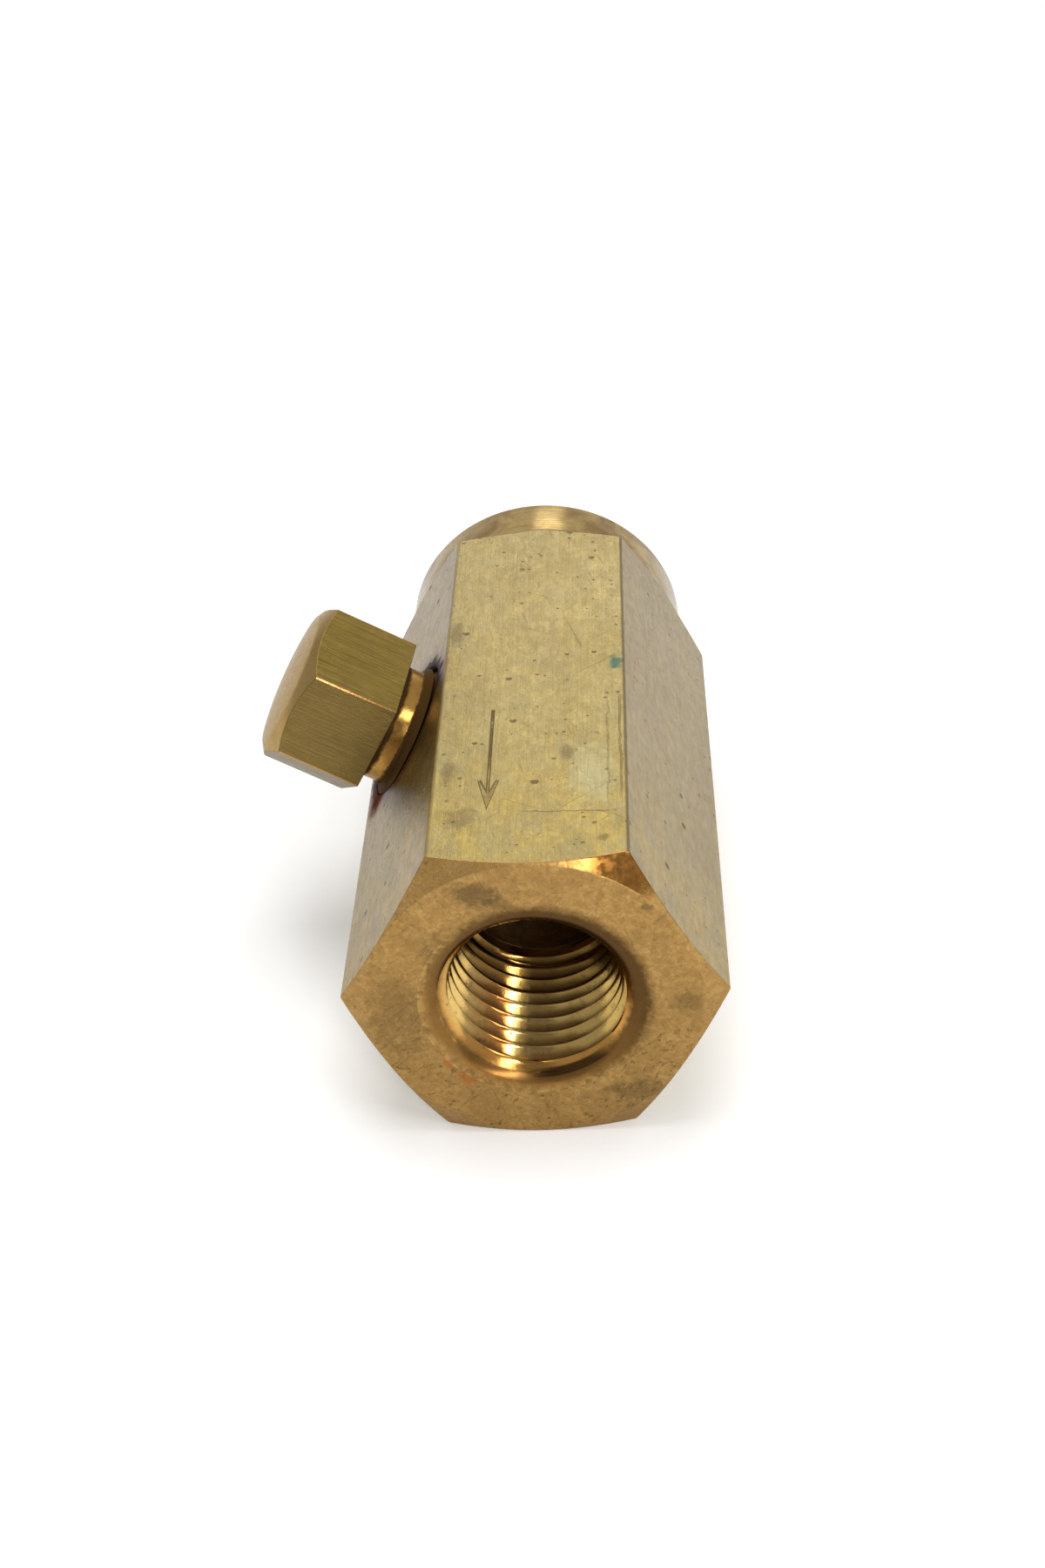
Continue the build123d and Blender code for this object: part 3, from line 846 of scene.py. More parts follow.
def thread_finish(colours, body, port):
    """Cut thread: bright brass with red-brown stain, roots darkened by grime and painted shade, painted
    shade along the lower bore, on its right side and deeper in, and a dark rounded mouth.
    """
    net = Finish(
        "cut_thread_brass", Metallic=1.0, Specular_Tint=(0.85, 0.82, 0.76, 1), Specular_IOR_Level=0.0
    )
    place = net.place()
    radius = net.radius(place)
    depth = net.math("ABSOLUTE", net.along(place, LENGTHWISE))
    below = net.fade(net.along(place, UPRIGHT), -1.0, -3.5)
    wander = net.uneven(place, scale=0.5, detail=3.0, rough=0.6, width=1.6)
    across = net.plus(net.along(place, SIDEWAYS), wander)
    clouds = net.group("tarnish", Place=net.stretch(place, (1, 0.5, 1)), Size=3.4, Sharpness=0.14)
    grain = net.group("tarnish", Place=place, Size=0.4, Sharpness=0.2)
    mottle = net.group("tarnish", Place=place, Size=0.5, Sharpness=0.14)
    specks = net.group("pinholes", Place=place, Spacing=1.0, Size=0.2, Share=0.4)
    blots = net.fade(net.noise(place, scale=1.1, detail=4.0, rough=0.65), 0.56, 0.66)
    # Painted shade: the thread darker towards the right of the bore
    right_side_shade = net.fade(across, 1.0, 3.0)
    # Painted shade: a darker stripe along the lower bore, where the thread mirrors the dim room round the
    # camera
    shade = net.times(net.line(across, *SHADE_STRIPE), below)
    rust = net.times(net.fade(across, -5.6, -2.6), net.fade(across, -1.7, -2.4), below)
    golden = net.times(net.fade(depth, *COUNTERSINK_GOLD), net.span(grain, 0.95, 0.6))

    # Grime and painted shade that thicken towards the roots, most of all near the foot, but hardly on the
    # stripe where the lamp's highlight runs
    bright = net.times(net.line(across, *BRIGHT_STRIPE), 0.8)
    wider_shade = net.times(net.line(across, *WIDER_SHADE_STRIPE), below)
    inwards = net.times(net.math("SUBTRACT", body.body_length / 2 / MM, depth), port.taper / 2)
    crest = (port.root_d / 2 - port.height) / MM
    below_crest = net.math("SUBTRACT", net.plus(radius, inwards), crest)
    start = net.span(wider_shade, 0.3, 0.05)
    grime_and_shade = net.fade(below_crest, start, net.plus(start, 0.45))
    grime_and_shade = net.times(grime_and_shade, net.fade(depth, *ROOT_GRIME_AND_SHADE), net.span(bright, 0.8, 0.0))

    faced = net.fade(radius, 6.8, 7.5)
    ring_dirt_and_shade = net.group("port ring", Place=place)
    colour = net.layers(
        colours.thread,
        (colours.thread_tarnish_and_shade, clouds, 0.3),
        (colours.thread_tarnish_and_shade, right_side_shade, 0.7),
        (colours.olive_shade_and_stain, shade, 0.4),
        (colours.thread_stain, rust, 0.85),
        (colours.thread_stain, grain, 0.2),
        # Painted shade: the thread darkens deeper in the port
        (colours.bore, net.fade(depth, *DEEP_BORE_SHADE)),
        (colours.root, blots, 0.4),
        (colours.soot_and_shade, specks, 0.8),
        (colours.cone, golden),
        (colours.root, grime_and_shade),
        (net.mix(mottle, colours.face_light, colours.face_dark), faced),
        # Dirt round the mouth, with its crescent of painted shade
        (colours.mouth, ring_dirt_and_shade),
    )
    rough = net.plus(net.span(clouds, 0.11, 0.16), net.times(ring_dirt_and_shade, 0.15), net.times(faced, 0.3))
    height = net.relief((grain, 0.0015), (specks, -0.004))
    return net.dress(height, Base_Color=colour, Roughness=rough, Metallic=net.without(grime_and_shade))


def bore_finish(colours):
    """Chamber wall: dull brass, darkened by oil."""
    net = Finish("bored_brass", Metallic=1.0)
    place = net.place()
    clouds = net.group("tarnish", Place=place, Size=2.4, Sharpness=0.2)
    rings = net.group("drawn lines", Place=net.stretch(place, (0.05, 2.0, 0.05)), Fineness=4.0)
    colour = net.mix(clouds, colours.bore, colours.soot_and_shade)
    return net.dress(net.relief((rings, 0.01)), Base_Color=colour, Roughness=net.span(clouds, 0.3, 0.44))


def plug_flat_finish(colours, plug):
    """Flats of the plug's head: satin olive brass, with lines along the bar it was cut from, and painted
    shade on the flats that face down.
    """
    net = Finish("plug_flat_brass", Metallic=1.0, Specular_Tint=(0.95, 0.94, 0.92, 1))
    place = net.place()
    lean = (0, -plug.lean, 0)
    lines = net.group("drawn lines", Place=net.slant(place, lean, (0.04, 2.4, 2.4)), Fineness=4.0)
    streaks = net.group("drawn lines", Place=net.slant(place, lean, (0.06, 0.8, 0.8)), Fineness=2.0)
    clouds = net.group("tarnish", Place=place, Size=2.8, Sharpness=0.25)
    specks = net.group("pinholes", Place=place, Spacing=1.6, Size=0.12, Share=0.3)
    across = Vector((math.sin(plug.lean), 0, math.cos(plug.lean)))
    # Painted shade: the head's flats that face down are darkened
    lower_flat_shade = net.fade(net.along(place, across), 4.1, 3.8)
    colour = net.layers(
        colours.plug,
        (colours.plug_line, lines, 0.6),
        (colours.plug_line, streaks, 0.5),
        (colours.soot_and_shade, clouds, 0.25),
        (colours.soot_and_shade, specks, 0.5),
        (colours.soot_and_shade, lower_flat_shade, 0.65),
    )
    return net.dress(net.relief((lines, 0.012)), Base_Color=colour, Roughness=net.span(lines, 0.3, 0.42))


def plug_turned_finish(colours, name, base, roughness):
    """Turned and rubbed parts of the plug's head: its top and its edges."""
    net = Finish(name, Metallic=1.0, Specular_Tint=(0.72, 0.68, 0.6, 1))
    place = net.place()
    clouds = net.group("tarnish", Place=place, Size=1.6, Sharpness=0.25)
    grain = net.group("tarnish", Place=place, Size=0.3, Sharpness=0.25)
    return net.dress(
        net.relief((grain, 0.004)),
        Base_Color=net.layers(base, (colours.face_dark, clouds, 0.5)),
        Roughness=net.span(grain, roughness - 0.06, roughness + 0.06),
    )


def neck_finish(colours, body, plug):
    """Neck and thread of the plug: bright at its middle, with painted shade under the head and in a spot on
    the neck, and grimy at the body.
    """
    net = Finish(
        "plug_neck_brass", Metallic=1.0, Specular_Tint=(0.8, 0.76, 0.7, 1), Specular_IOR_Level=0.0
    )
    place = net.place()
    head = plug.head_start / MM
    flat = body.across_flats / 2 / MM
    clouds = net.group("tarnish", Place=place, Size=1.2, Sharpness=0.2)
    ragged = net.uneven(place, scale=1.2, detail=3.0, rough=0.6, width=0.5)
    outwards = net.plus(net.along(place, plug_direction(plug)), ragged)
    # Painted shade under the head and in a spot on the neck; real grime at the body
    under_head_shade = net.fade(outwards, head - 0.8, head - 0.5)
    at_body = net.times(net.fade(outwards, flat + 0.85, flat + 0.65), 0.95)
    grime_and_shade = net.most(under_head_shade, at_body, net.smudge(place, NECK_SHADE_SPOT))
    colour = net.layers(colours.neck, (colours.face_dark, clouds, 0.6), (colours.mouth, grime_and_shade))
    return net.dress(
        net.relief((clouds, 0.006)),
        Base_Color=colour,
        Roughness=net.plus(net.span(clouds, 0.14, 0.24), net.times(grime_and_shade, 0.2)),
        Metallic=net.without(net.times(grime_and_shade, 0.85)),
    )


def metal_finish(name, base, dark, roughness):
    """Clean inner metal with faint turning lines."""
    net = Finish(name, Metallic=1.0)
    place = net.place()
    rings = net.group("drawn lines", Place=net.stretch(place, (0.2, 2.0, 0.2)), Fineness=3.0)
    clouds = net.group("tarnish", Place=place, Size=1.8, Sharpness=0.25)
    return net.dress(
        net.relief((rings, 0.006)),
        Base_Color=net.layers(base, (dark, clouds, 0.5)),
        Roughness=net.span(rings, roughness - 0.05, roughness + 0.1),
    )


def rubber_finish(colours):
    """Moulded black rubber with a fine grain."""
    net = Finish("moulded_rubber")
    grain = net.group("tarnish", Place=net.place(), Size=0.25, Sharpness=0.3)
    return net.dress(
        net.relief((grain, 0.01)),
        Base_Color=net.layers(colours.rubber, (colours.soot_and_shade, grain, 0.3)),
        Roughness=net.span(grain, 0.55, 0.75),
    )


def spin(bm, geometry, angle, steps, climb=0, closed=False):
    """Turns geometry about the lathe axis +Y while it climbs along it, and gives where it ends."""
    return bmesh.ops.spin(
        bm,
        geom=geometry,
        cent=(0, 0, 0),
        axis=LENGTHWISE,
        dvec=(0, climb / steps, 0),
        angle=angle,
        steps=steps,
        use_merge=closed,
    )["geom_last"]


def lathe(bm, profile, steps):
    """Turns an open profile, given as distances along and radii, about the lathe axis."""
    points = [bm.verts.new((radius, along, 0)) for along, radius in profile]
    lines = [bm.edges.new(pair) for pair in zip(points, points[1:])]
    spin(bm, points + lines, 2 * math.pi, steps, closed=True)
    bmesh.ops.remove_doubles(bm, verts=bm.verts, dist=WELD)


def stock_radius(distance):
    """Radius of turned stock that leaves room for a hexagon with flats at this distance."""
    return distance / math.cos(math.pi / BAR_SIDES) + STOCK_SPARE


def flat_normal(index):
    """Direction of one flat of a hexagon whose first corner lies on +X."""
    angle = math.pi / BAR_SIDES * (2 * index + 1)
    return Vector((math.cos(angle), 0, math.sin(angle)))


def is_flat(face, distance):
    """Whether a face lies on one of the hexagon's flats."""
    centre = face.calc_center_median()
    for index in range(BAR_SIDES):
        normal = flat_normal(index)
        if face.normal.dot(normal) > FLAT_MATCH and abs(centre.dot(normal) - distance) < WELD:
            return True
    return False


def cut_flats(bm, distance):
    """Planes six flats on a turned shell and closes them."""
    for index in range(BAR_SIDES):
        normal = flat_normal(index)
        cut = bmesh.ops.bisect_plane(
            bm,
            geom=bm.verts[:] + bm.edges[:] + bm.faces[:],
            dist=CUT_TOLERANCE,
            plane_co=normal * distance,
            plane_no=normal,
            clear_outer=True,
        )
        rim = [part for part in cut["geom_cut"] if isinstance(part, bmesh.types.BMEdge)]
        bmesh.ops.holes_fill(bm, edges=rim, sides=0)


def round_edges(bm, edges, offset, segments):
    bmesh.ops.bevel(
        bm,
        geom=edges,
        offset=offset,
        offset_type="OFFSET",
        segments=segments,
        profile=0.5,
        affect="EDGES",
        clamp_overlap=False,
        material=-1,
    )


def soften_hexagon(bm, distance, corner_radius, rounding):
    """Rounds the bar's corners, then every other sharp edge."""
    bmesh.ops.recalc_face_normals(bm, faces=bm.faces)
    flats = {face for face in bm.faces if is_flat(face, distance)}
    corners = [edge for edge in bm.edges if len(flats.intersection(edge.link_faces)) == 2]
    round_edges(bm, corners, corner_radius * math.tan(math.pi / BAR_SIDES), CORNER_SEGMENTS)
    bm.normal_update()
    sharp = [
        edge
        for edge in bm.edges
        if len(edge.link_faces) == 2 and edge.calc_face_angle() > SHARP_ANGLE
    ]
    round_edges(bm, sharp, rounding, EDGE_SEGMENTS)


def thread_tooth(phase, sizes):
    """Height of a thread above its root at a phase of its pitch, with a narrow crest."""
    sharp = sizes.pitch / 2 / math.tan(sizes.flank)
    rise = (1 - abs(2 * phase - 1)) * sharp
    return min(max(rise - ROOT_SHARE * (sharp - sizes.height), 0), sizes.height)


def helix_sheet(bm, pitch, start, end, steps):
    """A right-handed sheet of thread rows, a little longer than start to end, at a radius of one."""
    step = pitch / ROWS_PER_THREAD
    rows = [bm.verts.new((1, start - pitch + step * row, 0)) for row in range(ROWS_PER_THREAD + 1)]
    lines = [bm.edges.new(pair) for pair in zip(rows, rows[1:])]
    spin(bm, rows + lines, 2 * math.pi, steps, climb=pitch)
    one_turn = bm.verts[:] + bm.edges[:] + bm.faces[:]
    for repeat in range(1, math.ceil((end - start) / pitch) + 2):
        copy = bmesh.ops.duplicate(bm, geom=one_turn)["geom"]
        moved = [part for part in copy if isinstance(part, bmesh.types.BMVert)]
        bmesh.ops.translate(bm, verts=moved, vec=(0, pitch * repeat, 0))
    bmesh.ops.remove_doubles(bm, verts=bm.verts, dist=step * ROW_WELD)


def shape_thread(bm, pitch, radius_at):
    """Sets each row to its radius and gathers what lies past either end on the end's circle."""
    for vert in bm.verts:
        angle = math.atan2(-vert.co.z, vert.co.x)
        phase = (vert.co.y / pitch - angle / (2 * math.pi)) % 1
        along, radius = radius_at(vert.co.y, phase)
        vert.co = (radius * math.cos(angle), along, -radius * math.sin(angle))
    bmesh.ops.remove_doubles(bm, verts=bm.verts, dist=WELD)
    bmesh.ops.dissolve_degenerate(bm, edges=bm.edges, dist=CUT_TOLERANCE)


def lip_arc(port):
    """The rounded mouth of a port, from its cone out to the end face, as depths and radii."""
    edge = port.lip_d / 2 + port.lip_rounding * math.tan(LIP_SLOPE / 2)
    tilts = [LIP_SLOPE * (1 - step / LIP_STEPS) for step in range(LIP_STEPS + 1)]
    return [
        (port.lip_rounding * (1 - math.cos(tilt)), edge - port.lip_rounding * math.sin(tilt))
        for tilt in tilts
    ]


def port_thread(port):
    """One pipe port, with its mouth at the origin and its depth along +Y."""
    drill = port.drill_d / 2
    start, mouth = lip_arc(port)[0]

    def radius_at(along, phase):
        if along <= start:
            return start, mouth
        if along >= port.depth:
            return port.depth, drill
        run_out = min((port.depth - along) / port.pitch, 1)
        root = drill + (port.root_d / 2 - along * port.taper / 2 - drill) * run_out
        cut = max(root - thread_tooth(phase, port), drill)
        return along, max(cut, port.lip_d / 2 - along)

    bm = bmesh.new()
    helix_sheet(bm, port.pitch, start, port.depth, BORE_STEPS)
    shape_thread(bm, port.pitch, radius_at)
    return bm


def add_copy(bm, source, matrix):
    """Adds a moved copy of another shape."""
    mesh = bpy.data.meshes.new("copy")
    source.to_mesh(mesh)
    mesh.transform(matrix)
    bm.from_mesh(mesh)
    bpy.data.meshes.remove(mesh)


def new_piece(name, bm, matrix, finishes):
    """Puts a shape in its place as a finished object at the origin."""
    bmesh.ops.recalc_face_normals(bm, faces=bm.faces)
    bmesh.ops.transform(bm, matrix=matrix, verts=bm.verts)
    mesh = bpy.data.meshes.new(name)
    bm.to_mesh(mesh)
    bm.free()
    piece = bpy.data.objects.new(name, mesh)
    bpy.context.scene.collection.objects.link(piece)
    for finish in finishes:
        mesh.materials.append(finish)
    return piece


def carve(piece, cutter):
    """Takes one shape out of another for good."""
    cut = piece.modifiers.new("carve", "BOOLEAN")
    cut.operation = "DIFFERENCE"
    cut.solver = "EXACT"
    cut.object = cutter
    shaped = piece.evaluated_get(bpy.context.evaluated_depsgraph_get())
    mesh = bpy.data.meshes.new_from_object(shaped)
    piece.modifiers.clear()
    old = piece.data
    piece.data = mesh
    bpy.data.meshes.remove(old)
    mesh.name = piece.name
    bpy.data.objects.remove(cutter)


def smooth(piece, flat_slots):
    """Shades curved faces smoothly and keeps planed faces flat."""
    bm = bmesh.new()
    bm.from_mesh(piece.data)
    for face in bm.faces:
        face.smooth = True
    for edge in bm.edges:
        slots = {face.material_index for face in edge.link_faces}
        planed = bool(slots & flat_slots)
        limit = PLANED_ANGLE if planed else SMOOTH_ANGLE
        edge.smooth = len(edge.link_faces) == 2 and edge.calc_face_angle() < limit
    bm.to_mesh(piece.data)
    bm.free()


def bore_place():
    return Matrix.Translation((0, 0, axis_height()))


def plug_direction(plug):
    return Vector((-math.cos(plug.lean), 0, math.sin(plug.lean)))


def plug_place(plug):
    """Stands the lathe axis along the plug, with the lathe's +X along the bore."""
    out = plug_direction(plug)
    bore = Vector(LENGTHWISE)
    turned = Matrix((bore, out, bore.cross(out))).transposed().to_4x4()
    return bore_place() @ Matrix.Translation((0, plug.along, 0)) @ turned


FLAT, FACE, ROUND_END, THREAD, BORE = range(5)
HEAD_FLAT, HEAD_TOP, HEAD_EDGE, NECK = range(4)


class VALVE_OT_finishes(bpy.types.Operator):
    """Makes the effects that the finishes share"""

    bl_idname = "valve.finishes"
    bl_label = "Finishes"

    def execute(self, context):
        make_effects()
        return {"FINISHED"}


class VALVE_OT_body(bpy.types.Operator):
    """Planes, turns, bores and threads the body, and stamps its flow arrow"""

    bl_idname = "valve.body"
    bl_label = "Body"

    def outside(self, bm, body, port):
        half = body.body_length / 2
        flat = body.across_flats / 2
        bar = stock_radius(flat)
        face = flat - body.face_inset
        round_end = flat - body.round_step
        shoulder = half - body.round_length
        near_lip = [(depth - half, radius) for depth, radius in lip_arc(port)]
        far_lip = [(-along, radius) for along, radius in reversed(near_lip)]
        fillet = body.shoulder_fillet
        tangent = fillet * math.tan(body.shoulder_slope / 2)
        slopes = [body.shoulder_slope * (1 - step / FILLET_STEPS) for step in range(FILLET_STEPS + 1)]
        foot = [
            (shoulder + tangent - fillet * math.sin(slope), round_end + fillet * (1 - math.cos(slope)))
            for slope in slopes
        ]
        profile = (
            *near_lip,
            (-half, face),
            (-half + (bar - face) * math.tan(body.face_chamfer), bar),
            (shoulder - (bar - round_end) / math.tan(body.shoulder_slope), bar),
            *foot,
            (half - body.edge_break, round_end),
            (half, round_end - body.edge_break),
            *far_lip,
        )
        lathe(bm, profile, BORE_STEPS)
        cut_flats(bm, flat)
        soften_hexagon(bm, flat, body.corner_radius, body.edge_rounding)

    def inside(self, bm, body, port):
        half = body.body_length / 2
        drill = port.drill_d / 2
        chamber = body.chamber_d / 2
        groove = chamber + body.groove_depth
        lip = body.seat_lip_d / 2
        seat = body.seat_bore_d / 2
        point = (drill - seat) / math.tan(DRILL_HALF_ANGLE)
        steps = (
            (port.depth, drill),
            (port.depth + drill - chamber, chamber),
            (body.groove_start, chamber),
            (body.groove_start, groove),
            (body.groove_end, groove),
            (body.groove_end, chamber),
            (body.chamber_end, chamber),
            (body.chamber_end, lip),
            (body.chamber_end - body.seat_lip_height, lip),
            (body.chamber_end - body.seat_lip_height, seat),
            (body.web_end, seat),
            (body.web_end + point, drill),
            (body.body_length - port.depth, drill),
        )
        bored = bmesh.new()
        lathe(bored, [(along - half, radius) for along, radius in steps], BORE_STEPS)
        add_copy(bm, bored, Matrix.Identity(4))
        bored.free()
        thread = port_thread(port)
        mouth = Matrix.Translation((0, -half, 0))
        add_copy(bm, thread, mouth)
        add_copy(bm, thread, Matrix.Rotation(math.pi, 4, "Z") @ mouth)
        thread.free()
        bmesh.ops.remove_doubles(bm, verts=bm.verts, dist=WELD)

    def mark_regions(self, bm, body, port):
        half = body.body_length / 2
        lip = lip_arc(port)[-1][1]
        bm.normal_update()
        for face in bm.faces:
            centre = face.calc_center_median()
            radius = math.hypot(centre.x, centre.z)
            if is_flat(face, body.across_flats / 2):
                face.material_index = FLAT
            elif radius < lip:
                deep = abs(centre.y) < half - port.depth
                face.material_index = BORE if deep else THREAD
            elif centre.y < -half + FACE_REACH:
                face.material_index = FACE
            elif centre.y > half - ROUND_END_REACH:
                face.material_index = ROUND_END
            else:
                face.material_index = FLAT

    def side_port(self, body, plug, finishes):
        flat = body.across_flats / 2
        lip = plug.lip_d / 2
        crest = plug.crest_d / 2 + SIDE_PORT_PLAY
        start = body.chamber_d * CUTTER_FOOT
        profile = (
            (start, 0),
            (start, crest - (flat - start) * plug.taper / 2),
            (flat - (lip - crest), crest),
            (flat, lip),
            (flat + CUTTER_SPARE, lip),
            (flat + CUTTER_SPARE, 0),
        )
        bm = bmesh.new()
        lathe(bm, profile, PLUG_STEPS)
        for face in bm.faces:
            shallow = face.calc_center_median().y > flat - COUNTERSINK_REACH
            face.material_index = FLAT if shallow else BORE
        return new_piece("side_port", bm, plug_place(plug), finishes)

    def arrow(self, body, arrow, finishes):
        """One closed arrow outline, sunk into the top flat."""
        half = arrow.stroke / 2
        barb = Vector((arrow.barb_spread, arrow.barb_length))
        lift = half * barb.length / barb.x
        across = half * barb.length / barb.y
        notch = Vector((half, arrow.tip + lift + (half / barb.x) * barb.y + lift))
        side = (
            Vector((0, arrow.tip - lift + half)),
            Vector((barb.x + across, arrow.tip + barb.y)),
            Vector((barb.x - across, arrow.tip + barb.y)),
            notch,
            Vector((half, arrow.tail)),
        )
        outline = [*side, *(Vector((-point.x, point.y)) for point in reversed(side[1:]))]
        bm = bmesh.new()
        corners = [bm.verts.new((point.x + arrow.aside, point.y, body.across_flats)) for point in outline]
        sunk = bm.faces.new(corners)
        risen = bmesh.ops.extrude_face_region(bm, geom=[sunk])["geom"]
        upper = [part for part in risen if isinstance(part, bmesh.types.BMVert)]
        bmesh.ops.translate(bm, verts=upper, vec=(0, 0, arrow.depth))
        bmesh.ops.recalc_face_normals(bm, faces=bm.faces)
        lower = [face for face in bm.faces if face.normal.z < FACING_DOWN]
        bmesh.ops.inset_region(
            bm, faces=lower, thickness=arrow.slope, depth=arrow.depth, use_even_offset=True
        )
        for face in bm.faces:
            face.material_index = FLAT
        return new_piece("arrow", bm, Matrix.Identity(4), finishes)

    def execute(self, context):
        scene = context.scene
        body = scene.valve_body
        port = scene.valve_port
        plug = scene.valve_plug
        colours = scene.valve_finish
        finishes = (
            flat_finish(colours, plug),
            face_finish(colours),
            round_end_finish(colours),
            thread_finish(colours, body, port),
            bore_finish(colours),
        )
        bm = bmesh.new()
        self.outside(bm, body, port)
        self.inside(bm, body, port)
        bmesh.ops.recalc_face_normals(bm, faces=bm.faces)
        self.mark_regions(bm, body, port)
        piece = new_piece("valve_body_brass", bm, bore_place(), finishes)
        carve(piece, self.side_port(body, plug, finishes))
        carve(piece, self.arrow(body, scene.valve_arrow, finishes))
        smooth(piece, {FLAT, FACE})
        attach(piece, "valve_body")
        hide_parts("body")
        return {"FINISHED"}


class VALVE_OT_side_plug(bpy.types.Operator):
    """Turns and threads the side plug and planes its head"""

    bl_idname = "valve.side_plug"
    bl_label = "Side plug"

    def head(self, bm, plug):
        flat = plug.across_flats / 2
        bar = stock_radius(flat)
        top = flat - plug.top_inset
        edge = plug.head_end - plug.crown
        profile = [
            (plug.head_start, plug.neck_d / 2),
            (plug.head_start, bar),
            (edge - (bar - top) * math.tan(plug.chamfer), bar),
        ]
        dome = (top**2 + plug.crown**2) / (2 * plug.crown)
        for step in range(DOME_STEPS + 1):
            radius = top * (1 - step / DOME_STEPS)
            profile.append((plug.head_end - dome + math.sqrt(dome**2 - radius**2), radius))
        lathe(bm, profile, PLUG_STEPS)
        cut_flats(bm, flat)
        soften_hexagon(bm, flat, plug.edge_rounding, plug.rim_rounding)

    def shank(self, bm, plug, flat):
        neck = plug.neck_d / 2
        tip = plug.shank_start

        def radius_at(along, phase):
            if along >= plug.run_out:
                return plug.run_out, neck
            along = max(along, tip)
            crest = plug.crest_d / 2 + (along - flat) * plug.taper / 2
            root = crest - plug.height
            cut = root + thread_tooth(phase, plug)
            ends = min(neck + plug.run_out - along, root - TIP_CHAMFER + along - tip)
            return along, min(cut, ends)

        thread = bmesh.new()
        helix_sheet(thread, plug.pitch, tip, plug.run_out, PLUG_STEPS)
        shape_thread(thread, plug.pitch, radius_at)
        rim = [edge for edge in thread.edges if edge.is_boundary and edge.verts[0].co.y < tip + WELD]
        bmesh.ops.holes_fill(thread, edges=rim, sides=0)
        add_copy(bm, thread, Matrix.Identity(4))
        thread.free()
        neck_tube = bmesh.new()
        lathe(neck_tube, ((plug.run_out, neck), (plug.head_start, neck)), PLUG_STEPS)
        add_copy(bm, neck_tube, Matrix.Identity(4))
        neck_tube.free()
        bmesh.ops.remove_doubles(bm, verts=bm.verts, dist=WELD)

    def execute(self, context):
        body = context.scene.valve_body
        plug = context.scene.valve_plug
        colours = context.scene.valve_finish
        finishes = (
            plug_flat_finish(colours, plug),
            plug_turned_finish(colours, "plug_top_brass", colours.plug_top, 0.3),
            plug_turned_finish(colours, "plug_edge_brass", colours.plug_edge, 0.24),
            neck_finish(colours, body, plug),
        )
        bm = bmesh.new()
        self.head(bm, plug)
        self.shank(bm, plug, body.across_flats / 2)
        bmesh.ops.recalc_face_normals(bm, faces=bm.faces)
        for face in bm.faces:
            if face.calc_center_median().y < plug.head_start + UNDERSIDE_REACH:
                face.material_index = NECK
            elif face.normal.y > TOP_SLOPE:
                face.material_index = HEAD_TOP
            elif is_flat(face, plug.across_flats / 2) or face.normal.y > CHAMFER_SLOPE:
                face.material_index = HEAD_FLAT
            else:
                face.material_index = HEAD_EDGE
        matrix = plug_place(plug) @ Matrix.Rotation(plug.turned, 4, "Y")
        piece = new_piece("side_plug_brass", bm, matrix, finishes)
        smooth(piece, {HEAD_FLAT})
        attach(piece, "valve_body")
        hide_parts("side_plug")
        return {"FINISHED"}


class VALVE_OT_spring(bpy.types.Operator):
    """Winds the closing spring"""

    bl_idname = "valve.spring"
    bl_label = "Spring"

    def execute(self, context):
        spring = context.scene.valve_spring
        colours = context.scene.valve_finish
        wire = spring.wire_d / 2
        coil = spring.outer_d / 2 - wire
        start = spring.start + spring.seat_gap + wire
        rise = spring.fitted - 2 * (spring.seat_gap + wire)
        bm = bmesh.new()
        middle = Matrix.Translation((coil, start, 0))
        bmesh.ops.create_circle(bm, segments=WIRE_SIDES, radius=wire, matrix=middle, cap_ends=True)
        ring = bm.verts[:] + bm.edges[:] + bm.faces[:]
        winding = ((CLOSED_HALF_TURNS, 0), (ACTIVE_HALF_TURNS, rise), (CLOSED_HALF_TURNS, 0))
        for half_turns, climb in winding:
            ring = spin(bm, ring, math.pi * half_turns, HALF_TURN_STEPS * half_turns, climb)
        bmesh.ops.remove_doubles(bm, verts=bm.verts, dist=WELD)
        finish = metal_finish("spring_wire", colours.steel, colours.bore, 0.24)
        piece = new_piece("closing_spring", bm, bore_place(), (finish,))
        smooth(piece, set())
        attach(piece, "valve_body")
        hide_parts("spring")
        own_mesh(piece)
        return {"FINISHED"}


class VALVE_OT_inner_parts(bpy.types.Operator):
    """Finishes the poppet, its disc, the guide and the ring"""

    bl_idname = "valve.inner_parts"
    bl_label = "Inner parts"

    def execute(self, context):
        colours = context.scene.valve_finish
        finishes = {
            "poppet": metal_finish("poppet_turned_brass", colours.neck, colours.face_dark, 0.26),
            "spring_guide": metal_finish("guide_turned_brass", colours.face_light, colours.bore, 0.32),
            "retaining_ring": metal_finish("ring_steel", colours.steel, colours.soot_and_shade, 0.34),
            "seat_disc": rubber_finish(colours),
        }
        for node, finish in finishes.items():
            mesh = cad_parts[node].data
            mesh.materials.clear()
            mesh.materials.append(finish)
        return {"FINISHED"}


